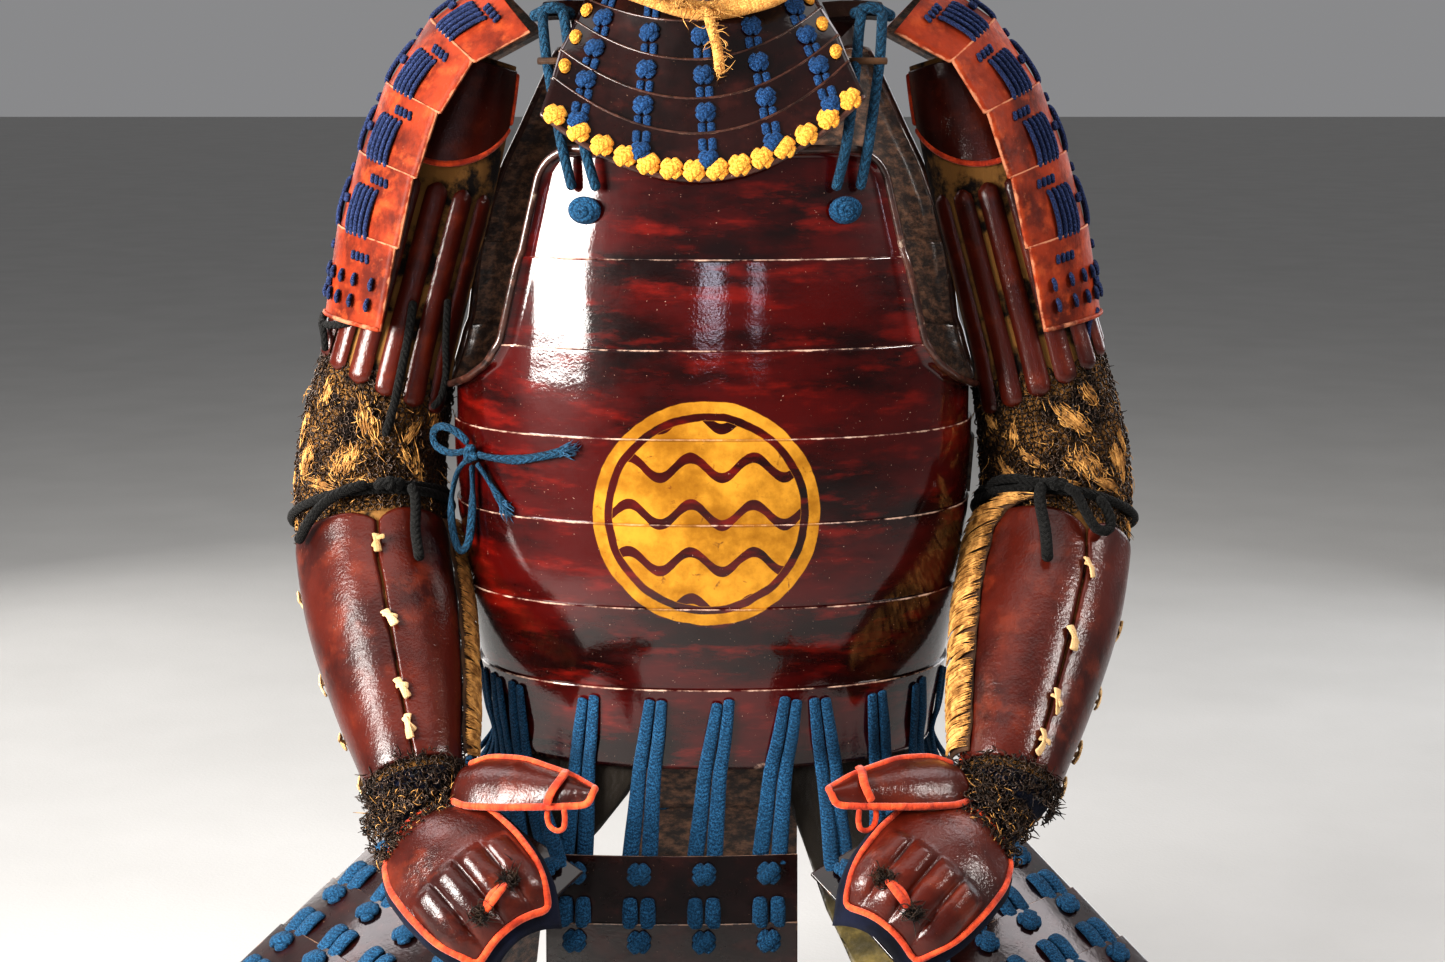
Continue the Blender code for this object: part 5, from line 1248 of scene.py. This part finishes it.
def silk_patch(side, place, angle, lean, long, wide, count):
    """Threads that lie flat on the sleeve, side by side along a slanted patch."""
    radius = np.interp(place, ARM_AT, ARM_TABLE[:, 9])
    pace = np.linalg.norm(arm(place + 0.5, angle, 1) - arm(place - 0.5, angle, 1))
    across = RNG.uniform(-1, 1, count)
    across = across * RNG.uniform(0.6, 1.25, count)
    half = long / 2 * np.sqrt(np.clip(1 - 0.75 * across**2, 0.08, 1)) * RNG.uniform(0.35, 1.05, count)
    t = np.linspace(-1, 1, 6)
    along = (RNG.normal(0, 0.2, count) * long)[:, None] + half[:, None] * t
    sideways = wide / 2 * (across[:, None] + RNG.normal(0, 0.34, count)[:, None] * (1 - t**2)
                           + 0.35 * np.sin(along / long * 3.0))
    q = math.radians(lean)
    off = 0.0006 + RNG.uniform(0, 0.0022, count)[:, None] + 0.0007 * (1 - t**4)
    return arm(place + (along * math.cos(q) - sideways * math.sin(q)) / pace,
               angle + np.degrees((along * math.sin(q) + sideways * math.cos(q)) / radius), side, off)


def make_arm_trim(m, side, word, wrist):
    """Frayed silk on the mail, thread along the forearm's inner strip, leather ties and black cords."""
    silk, floss = Piece(), Piece()
    for place, angle, lean, long, wide, count in SILK_PATCHES:
        place, angle = place + RNG.normal(0, 0.05), angle + RNG.normal(0, 4)
        patch = silk_patch(side, place, angle, lean * side, long * 0.8, wide * 1.05, int(count * 0.8))
        threads(silk, patch, 0.00042)
    at, degrees = RNG.uniform(4.5, 7.3, 260), RNG.uniform(-110, 115, 260)
    flat = arm(at + 0.2, degrees + RNG.normal(0, 9, 260), side) - arm(at, degrees, side)
    ways = unit(flat) + RNG.normal(0, 0.35, (260, 3))
    frayed(silk, arm(at, degrees, side, 0.0022), ways, 0.008, 0.00034, 0.5)
    for places, angles, count, off, stray, long, thick, curl in FLOSS_BANDS:
        at, degrees = RNG.uniform(*places, count), RNG.uniform(*angles, count)
        ways = arm_face(at, degrees, side) + RNG.normal(0, stray, (count, 3))
        frayed(floss, arm(at, degrees, side, off), ways, long, thick, curl, 4)
    centre, fingers, thumbward, face = hand_frame(side)
    roots = wrist[RNG.integers(0, len(wrist), 420)]
    frayed(floss, roots, face + RNG.normal(0, 1.4, (420, 3)), 0.0044, 0.00055, 1.1, 4)
    roots = wrist[RNG.integers(0, len(wrist), 90)] + 0.0015 * face
    frayed(silk, roots, thumbward + RNG.normal(0, 0.7, (90, 3)), 0.006, 0.0004, 0.8, 4)
    for along, across in ((0.0375, 0.49), (0.0465, -0.28)):
        knuckle = (hand(along, across + RNG.normal(0, 0.06, 110), side, 0.0008)
                   + fingers * RNG.normal(0, 0.0028, 110)[:, None])
        frayed(floss, knuckle, face + RNG.normal(0, 0.9, (110, 3)), 0.006, 0.00046, 0.9)
    # the strip along the forearm's inner edge and the silk bunched over it
    rows, half, low, high = SILK_STRIPS[side]
    place = np.linspace(rows[0][0], rows[-1][0], 70)
    middle = np.interp(place, [row[0] for row in rows], [row[1] for row in rows])
    q = np.linspace(-1, 1, 11)
    rise = low + (high - low) * (1 - q) / 2 + 0.0016 * (1 - q**4)
    strip = arm(place[:, None], middle[:, None] + half * q[None], side,
                rise[None] + 0.0006 * np.sin(place * 9)[:, None])
    Piece().grid(facing(strip, side)).make(
        f"silk_strip_{word}", m["strap"], slot="sleeve_cloth", wall=0.0012)
    for bunch in np.arange(place[0] + 0.05, place[-1] - 0.04, 0.128):
        count = int(RNG.integers(11, 21))
        t = np.linspace(-1, 1, 7)
        spread = RNG.normal(0, 0.023, count)[:, None] * (0.6 + 0.9 * np.abs(t))
        at = bunch + spread + RNG.normal(0, 0.035) * t + 0.03 * (1 - t**2) * RNG.normal(0, 1, count)[:, None]
        reach = half * RNG.uniform(0.78, 1.12, count)[:, None]
        off = low + (high - low) * (1 - t) / 2 + 0.0022 + 0.0012 * (1 - t**2)
        off = off + RNG.uniform(0, 0.0012, count)[:, None]
        threads(silk, arm(at, np.interp(at, place, middle) + reach * t, side, off), 0.00046)
    silk.make(f"frayed_silk_{word}", m["silk"], slot="yellow_cord")
    floss.make(f"dark_floss_{word}", m["floss"], slot="sleeve_cloth")

    ties = Piece()
    groove = FOREARM_ANGLES[side][1]
    for degrees, places in LEATHER_TIES[side]:
        for place in places:
            at = place + RNG.normal(0, 0.05)
            turn_at = (groove if degrees is None else degrees)
            centre, face = arm(at, turn_at, side, 0.0052), arm_face(at, turn_at, side)
            down = unit(arm(at + 0.1, turn_at, side) - arm(at - 0.1, turn_at, side))
            across = np.cross(face, down)
            strips = [(RNG.normal(*turn), RNG.uniform(*size), RNG.uniform(*wide))
                      for turn, size, wide in LEATHER_STRIPS]
            for turn, size, wide in strips:
                way = unit(across * math.cos(turn) + down * math.sin(turn))
                t = np.linspace(-1, 1, 8)
                bow = RNG.normal(0, 0.001, 2)
                line = (centre + way * ((t + 0.2) * size)[:, None]
                        + np.cross(face, way) * (bow[0] * t**2)[:, None]
                        + face * (0.0022 * np.cos(t * 1.5) + 0.0008 + bow[1] * t)[:, None])
                ties.tube(line, wide, 0.0009, face + RNG.normal(0, 0.2, 3), sides=6, square=0.6,
                          swell=(1.15, 0.95, 0.75, 1.0, 1.1))
    ties.make(f"leather_ties_{word}", m["leather"], slot="yellow_cord")

    angle = np.linspace(0, 360, 90)
    ring = arm(TIE_PLACE + TIE_SLANT * np.cos(np.radians(angle)), angle, side, TIE_RADIUS + 0.0014)
    cord = Piece()
    cord.tube(ring, TIE_RADIUS * 0.8, sides=10, round_ends=False)
    second = arm(TIE_PLACE - 0.13 + TIE_SLANT * 1.6 * np.cos(np.radians(angle - 40)), angle, side, TIE_RADIUS)
    cord.tube(second, 0.0028, sides=8, round_ends=False)
    centre = -22 if side < 0 else -10
    for n, slant in enumerate((-40, 25, 80, -85)):
        t = np.linspace(-1, 1, 10)
        q = math.radians(slant)
        off = 0.009 + 0.0042 * np.cos(t * 1.4) + 0.0006 * n
        line = arm(6.93 + 0.17 * t * math.sin(q), centre + 11 * t * math.cos(q), side, off)
        cord.tube(line, 0.0036, sides=10)
    if side > 0:
        loop = smooth([arm(a, d, side, o) for a, d, o in ELBOW_LOOP], 40)
        cord.tube(loop, 0.0034, sides=10)
    else:
        for route in SPLINT_CORDS:
            line = smooth([arm(a, d, side, o) for a, d, o in route], 30)
            cord.tube(line, 0.0028, sides=8)
    cord.make(f"elbow_tie_{word}", m["black"], True, "black_cord")


def hand_frame(side):
    fingers = unit(mirrored(HAND_FINGERS, side))
    thumbward = mirrored(HAND_THUMBWARD, side)
    thumbward = unit(thumbward - fingers * thumbward.dot(fingers))
    face = np.cross(fingers, thumbward)
    return np.array(HAND_CENTRES[side]), fingers, thumbward, face if face[2] > 0 else -face


def hand(along, across, side, off=0.0, grow=0.0, knuckles=True):
    centre, fingers, thumbward, face = hand_frame(side)
    along, across = np.broadcast_arrays(np.asarray(along, float), across)
    half, crown = (softened(HAND_OUTLINE, along, k, 0.004) for k in (1, 2))
    place = across * (half + grow)
    height = crown - HAND_FALL * (place / half) ** 2 + off
    if knuckles:
        start = np.clip((along - KNUCKLE_START) / KNUCKLE_RUN, 0, 1)
        for knuckle in KNUCKLES:
            reach = np.abs(place - knuckle) / KNUCKLE_HALF
            dome = np.sqrt(np.clip(1 - reach**2, 0, 1))
            height = height + KNUCKLE_PROUD * start * dome * eased((0.058 - along) / 0.012)
    return centre + along[..., None] * fingers + place[..., None] * thumbward + height[..., None] * face


def towards(points, face, row, column):
    """Columns in the order that makes the faces look this way."""
    corner = points[row, column]
    cross = np.cross(points[row + 1, column] - corner, points[row, column + 1] - corner)
    return points[:, ::-1] if np.dot(cross, face) < 0 else points


def make_hands(m):
    for side, word in SIDES:
        centre, fingers, thumbward, face = hand_frame(side)
        lengthwise = np.linspace(-0.056, 0.056, 48)[:, None]
        crosswise = np.linspace(-1, 1, 65)[None]
        points = hand(lengthwise, crosswise, side)
        wear = np.where(np.abs(crosswise) > 0.975, 0.5, 0.0) + 0 * lengthwise
        Piece().grid(towards(points, face, 0, 1), wear=wear).make(
            f"hand_plate_{word}", m["russet"], True, "russet_lacquer", THIN_PLATE)
        outline = np.concatenate((points[:, 0], points[-1][1:-1], points[::-1, -1], points[0][::-1][1:]))
        trim = Piece()
        trim.tube(smooth_line(outline, 7), 0.0027, 0.0022, sides=10, round_ends=False)
        t = np.linspace(0, 1, 14)
        for shift in (-1, 1):
            start, end = (hand(along, at, side, 0.003, knuckles=False) for along, at in FINGER_LOOP)
            line = (start + (end - start) * t[:, None]
                    + fingers * (shift * 0.0021 * np.sin(t * math.pi) ** 0.6)[:, None]
                    + face * (0.0015 + 0.0042 * np.sin(t * math.pi) ** 0.7 + 0.0005 * shift)[:, None])
            trim.tube(line, 0.0026, 0.0018, face, sides=10, swell=(0.7, 1.0, 1.1, 1.0, 0.7))
        trim.make(f"hand_piping_{word}", m["piping"], slot="russet_lacquer")

        width = np.linspace(-1, 1, 41)
        rows = [arm(at, -WRIST_SPREAD * width, side, CLOTH + 0.0012) for at in GLOVE_WRIST]
        for along in np.linspace(-0.062, 0.062, 36):
            rows.append(hand(along, width, side, -THIN_PLATE - GLOVE_DROP, GLOVE_MARGIN, False))
        rows = np.array(rows)
        made = Piece().grid(towards(rows, face, 20, 20)).make(
            f"hand_cloth_{word}", m["indigo"], True, "indigo_cloth", CLOTH)

        base, tip = np.array(THUMB_BASES[side]), mirrored(THUMB_TIP, side)
        up = unit(mirrored(THUMB_FACE, side))
        across = unit(np.cross(tip - base, up))
        share = np.linspace(0, 1, 50)
        half, crown = (softened(THUMB_OUTLINE, share, k, 0.05) for k in (1, 2))
        q = np.linspace(-1, 1, 25)
        middle = base + (tip - base) * share[:, None] + up * crown[:, None]
        fall = up * (THUMB_FALL * q * q)[None, :, None]
        points = middle[:, None] + across * (half[:, None] * q)[..., None] - fall
        Piece().grid(towards(points, up, 0, 12)).make(
            f"thumb_plate_{word}", m["russet"], True, "russet_lacquer", THIN_PLATE)
        outline = np.concatenate((points[:, 0], points[-1][1:-1], points[::-1, -1]))
        trim = Piece()
        trim.tube(smooth_line(outline, 7), 0.0025, sides=10)
        t = np.linspace(0, 1, 14)
        lengthwise = unit(tip - base)
        lift = (0.003 - THUMB_FALL * (2 * t - 1) ** 2 * 0.8)[:, None]
        band = middle[37] + across * ((t - 0.45) * 2.1 * half[37])[:, None] + up * lift
        trim.tube(band + lengthwise * (0.002 * np.sin(t * 5))[:, None], 0.003, 0.0012, up, sides=8)
        low_edge = points[36, 24] if points[36, 24][2] < points[36, 0][2] else points[36, 0]
        loop = low_edge + (0.0, 0.0022, 0.0) + lengthwise * THUMB_LOOP[:, :1]
        loop = loop + np.array((0.0, 0.0, 1.0)) * THUMB_LOOP[:, 1:]
        trim.tube(smooth(loop, 30), 0.0019, 0.0014, (0, -1, 0), sides=8)
        trim.make(f"thumb_piping_{word}", m["piping"], slot="russet_lacquer")


def make_ties(m):
    for name, side, radius, route in ARM_TIE_ENDS:
        points = np.array([arm(at, angle, side, off) for at, angle, off in route])
        make_cord(name, smooth(points, 40), radius, m["black"], "black_cord")
    tips = Piece()
    for name, radius, route in SIDE_TIE_ENDS:
        points = np.array([cuirass(angle, height, off) for angle, height, off in route])
        line = smooth(points, 50)
        flat = np.array([cuirass_face(angle, height) for angle, height, _ in route])
        flat = stretched_to(flat, 50)
        twist = 1.1 * np.sin(np.linspace(0, len(route) * 1.3, 50) + radius * 1000)[:, None]
        flat = unit(flat + np.cross(flat, unit(np.gradient(line, axis=0))) * twist)
        make_cord(name, line, radius, m["chest"], "blue_cord", faces=flat)
        if "end" in name:
            way = unit(line[-1] - line[-4])
            frayed(tips, line[-1] - way * 0.002 + RNG.normal(0, radius * 0.45, (70, 3)),
                   way + RNG.normal(0, 0.3, (70, 3)), 0.0095, 0.00042, 0.35)
    tips.make("side_tie_frays", m["blue_silk"], slot="blue_cord")
    knot = Piece()
    centre, face = cuirass(*SIDE_KNOT), cuirass_face(*SIDE_KNOT[:2])
    side = np.cross(face, (0, 0, 1))
    for n, (slant, size) in enumerate(((20, 0.0072), (-60, 0.0068), (95, 0.006))):
        q = math.radians(slant)
        t = np.linspace(-1, 1, 12)
        way = side * math.cos(q) + np.array((0, 0, 1)) * math.sin(q)
        off = (0.0042 * np.cos(t * 1.5) - 0.0015 + 0.0007 * n)[:, None]
        knot.tube(centre + way * (t * size)[:, None] + face * off, 0.0034, sides=10)
    knot.make("side_tie_knot", m["chest"], True, "blue_cord")


def strap_spot(centre, half, azimuth, height):
    """Where a strap's middle lies on the cuirass, and the way that it faces."""
    angle = angle_towards(centre, azimuth, height)
    step = LAME_STEP * max(height - CUIRASS_BOTTOM, 0) / (CUIRASS_SEAMS[-1] - CUIRASS_BOTTOM)
    return cuirass(angle, height, 0.0022 + step), cuirass_face(angle, height)


def make_skirt(m):
    for name, azimuth, half, x, y, z, slope, roll, pitch, straps, shift, fan, foot in SKIRT_PANELS:
        turn, fall = math.radians(azimuth), math.radians(slope)
        outward = np.array((math.sin(turn), -math.cos(turn), 0))
        level = np.array((math.cos(turn), math.sin(turn), 0))
        down = outward * math.cos(fall) - np.array((0, 0, 1)) * math.sin(fall)
        face = np.cross(level, down)
        if face.dot(outward) + face[2] < 0:
            face = -face
        tilt, rise = math.radians(abs(roll)), 1 if azimuth > 0 else -1
        sideways = level * math.cos(tilt) + face * math.sin(tilt) * rise
        face = face * math.cos(tilt) - level * math.sin(tilt) * rise
        top = np.array((x, y, z))

        def spot(across, place, proud):
            across, place, proud = np.broadcast_arrays(np.asarray(across, float), place, proud)
            return (top + across[..., None] * sideways + place[..., None] * down
                    + (proud - PANEL_CURVE * across * across)[..., None] * face)

        rows = lame_profile([pitch * i for i in range(SKIRT_LAMES + 1)])
        rows[:1, 2] = 1.0
        across = half * np.concatenate(((-1, -0.99), np.linspace(-0.97, 0.97, 29), (0.99, 1)))
        wear = np.maximum(rows[:, 2:], np.where(np.abs(across) > half * 0.98, 0.75, 0)[None])
        Piece().grid(spot(across[None], rows[:, :1], rows[:, 1:2]), wear=wear).make(
            name, m["dark"], True, "dark_lacquer", PLATE, m["inner"], sharp=40)
        braids = Piece()
        spacing = 2 * (half - STRAP_MARGIN) / (straps - 1)
        for number in range(straps):
            centre = spacing * (number - (straps - 1) / 2)
            above = top.dot(level) + centre
            at_top = top.dot(level) + centre * fan + shift
            at_foot = above + (at_top - above) * foot
            on_top, top_face = strap_spot(at_top, BRAID_TOP_HALF, azimuth, STRAP_TOP)
            on_foot, foot_face = strap_spot(at_foot, BRAID_FOOT_HALF, azimuth, CUIRASS_BOTTOM - 0.002)
            start = spot(centre, 0.008, -0.0032)
            hang = (start + on_foot) / 2
            for sign in (-1, 1):
                offsets = [sign * w * 0.56 for w in (
                    BRAID_TOP_HALF, BRAID_TOP_HALF * 1.2, BRAID_FOOT_HALF, BRAID_FOOT_HALF * 1.1,
                    BRAID_HALF, BRAID_HALF)]
                lie = on_top + (on_foot - on_top) * 0.5 + top_face * 0.0006
                line = [on_top, lie, on_foot, hang, start * 0.75 + hang * 0.25, start]
                ways = [np.cross((0, 0, 1), top_face)] * 2 + [np.cross((0, 0, 1), foot_face)] + [sideways] * 3
                line = [p + unit(w) * (o if np.dot(unit(w), sideways) > 0 else -o)
                        for p, w, o in zip(line, ways, offsets)]
                line[0] = line[0] + np.array((0, 0, 0.004 + RNG.uniform(-0.002, 0.003)))
                faces = np.array([top_face, top_face, foot_face, (foot_face + face) / 2, face, face])
                braids.tube(smooth(line, 60), 0.0058, 0.0022, stretched_to(faces, 60), sides=10, square=0.8,
                            swell=(0.66, 0.78, 0.86, 0.92, 1.0, 1.0))
            for lame in range(SKIRT_LAMES):
                place = lame * pitch
                middle = spot(centre, place + 0.0125, LAME_STEP * 0.7 * (lame > 0))
                cross_knot(braids, middle, face, down, 0.0142, 0.0024)
                if lame < SKIRT_LAMES - 1:
                    for sign in (-1, 1):
                        line = [spot(centre + sign * 0.0062, place + d, o) for d, o in (
                            *BRAID_RISE, (pitch - 0.001, 0.0012), (pitch + 0.004, 0.0))]
                        braids.tube(smooth(line, 16), 0.0056, 0.0022, face, sides=10, square=0.8,
                                    swell=(0.8, 1, 1, 1))
        braids.make(f"{name}_lacing", m["teal"], slot="blue_cord")


def dressed(name, material, ripple):
    """A node's own surface, refined and gently crumpled."""
    mesh = NODES[name].data.copy()
    made = bpy.data.objects.new(f"{name}_cloth", mesh)
    bpy.context.scene.collection.objects.link(made)
    mesh.materials.clear()
    mesh.materials.append(material)
    for polygon in mesh.polygons:
        polygon.material_index = 0
    weld = made.modifiers.new("weld", "WELD")
    weld.merge_threshold = 0.00002
    fine = made.modifiers.new("fine", "SUBSURF")
    fine.levels = fine.render_levels = 1
    if ripple:
        texture = bpy.data.textures.new(f"{name}_folds", "CLOUDS")
        texture.noise_scale, texture.noise_depth = 0.035, 2
        fold = made.modifiers.new("folds", "DISPLACE")
        fold.texture, fold.texture_coords, fold.strength, fold.mid_level = texture, "LOCAL", ripple, 0.5
    mesh.shade_smooth()
    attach(made, "root")
    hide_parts(name)
    return made


def make_aprons(m):
    for _, word in SIDES:
        made = dressed(f"thigh_apron_{word}", m["olive"], 0.004)
    # the belt lies wholly above the olive cloth's dark height, so all of it is painted shade
    made = dressed("apron_belt", m["olive"], 0.0)


def area_light(name, place, aim, size, power, colour):
    light = bpy.data.lights.new(name, "AREA")
    light.shape, light.size, light.size_y = "RECTANGLE", *size
    light.energy, light.color = power, colour
    made = bpy.data.objects.new(name, light)
    made.location = place
    made.visible_camera = False
    made.rotation_euler = (Vector(aim) - Vector(place)).to_track_quat("-Z", "Y").to_euler()
    bpy.context.scene.collection.objects.link(made)
    return made


def make_stage():
    s = Shade("pale_floor", Roughness=0.9, Specular_IOR_Level=0.2)
    s.set(Base_Color=s.mix(s.noise(5.0, 4.0), (0.4, 0.395, 0.385), (0.47, 0.465, 0.455)),
          Normal=s.bump(s.noise(260.0, 3.0), 0.0004))
    mesh = bpy.data.meshes.new("floor")
    half, height = FLOOR_SIZE / 2, CAD_LOW[2] - FLOOR_GAP
    corners = ((-1, -1), (1, -1), (1, 1), (-1, 1))
    mesh.from_pydata([(half * x, half * y, height) for x, y in corners], [], [(0, 1, 2, 3)])
    mesh.materials.append(s.material)
    floor = bpy.data.objects.new("floor", mesh)
    bpy.context.scene.collection.objects.link(floor)
    for light in LIGHTS:
        area_light(*light)
    fill = area_light("front_fill", (-0.6, -2.1, 0.9), (0.0, 0.0, -0.3), (1.2, 0.9), 14, (1.0, 0.97, 0.94))
    fill.visible_glossy = False
    world = bpy.data.worlds.new("grey_room")
    bpy.context.scene.world = world
    world.use_nodes = True
    world.node_tree.nodes["Background"].inputs["Color"].default_value = (0.24, 0.24, 0.245, 1)
    world.node_tree.nodes["Background"].inputs["Strength"].default_value = 1.0


def make_camera():
    camera = bpy.data.objects.new("camera", bpy.data.cameras.new("camera"))
    camera.location = CAMERA_PLACE
    camera.rotation_euler = (math.radians(90 - CAMERA_FALL), 0, 0)
    camera.data.sensor_width = SENSOR
    camera.data.lens = FOCAL_PIXELS * SENSOR / FRAME_WIDTH
    bpy.context.scene.collection.objects.link(camera)
    bpy.context.scene.camera = camera


def main():
    make_camera()
    m = make_materials()
    make_cuirass(m)
    make_chest_cords(m)
    make_head(m)
    make_shoulder_guards(m)
    make_arms(m)
    make_hands(m)
    make_ties(m)
    make_skirt(m)
    make_aprons(m)
    make_stage()
    bpy.context.scene.view_settings.view_transform = "Standard"
    bpy.context.scene.view_settings.look = "Medium High Contrast"


main()
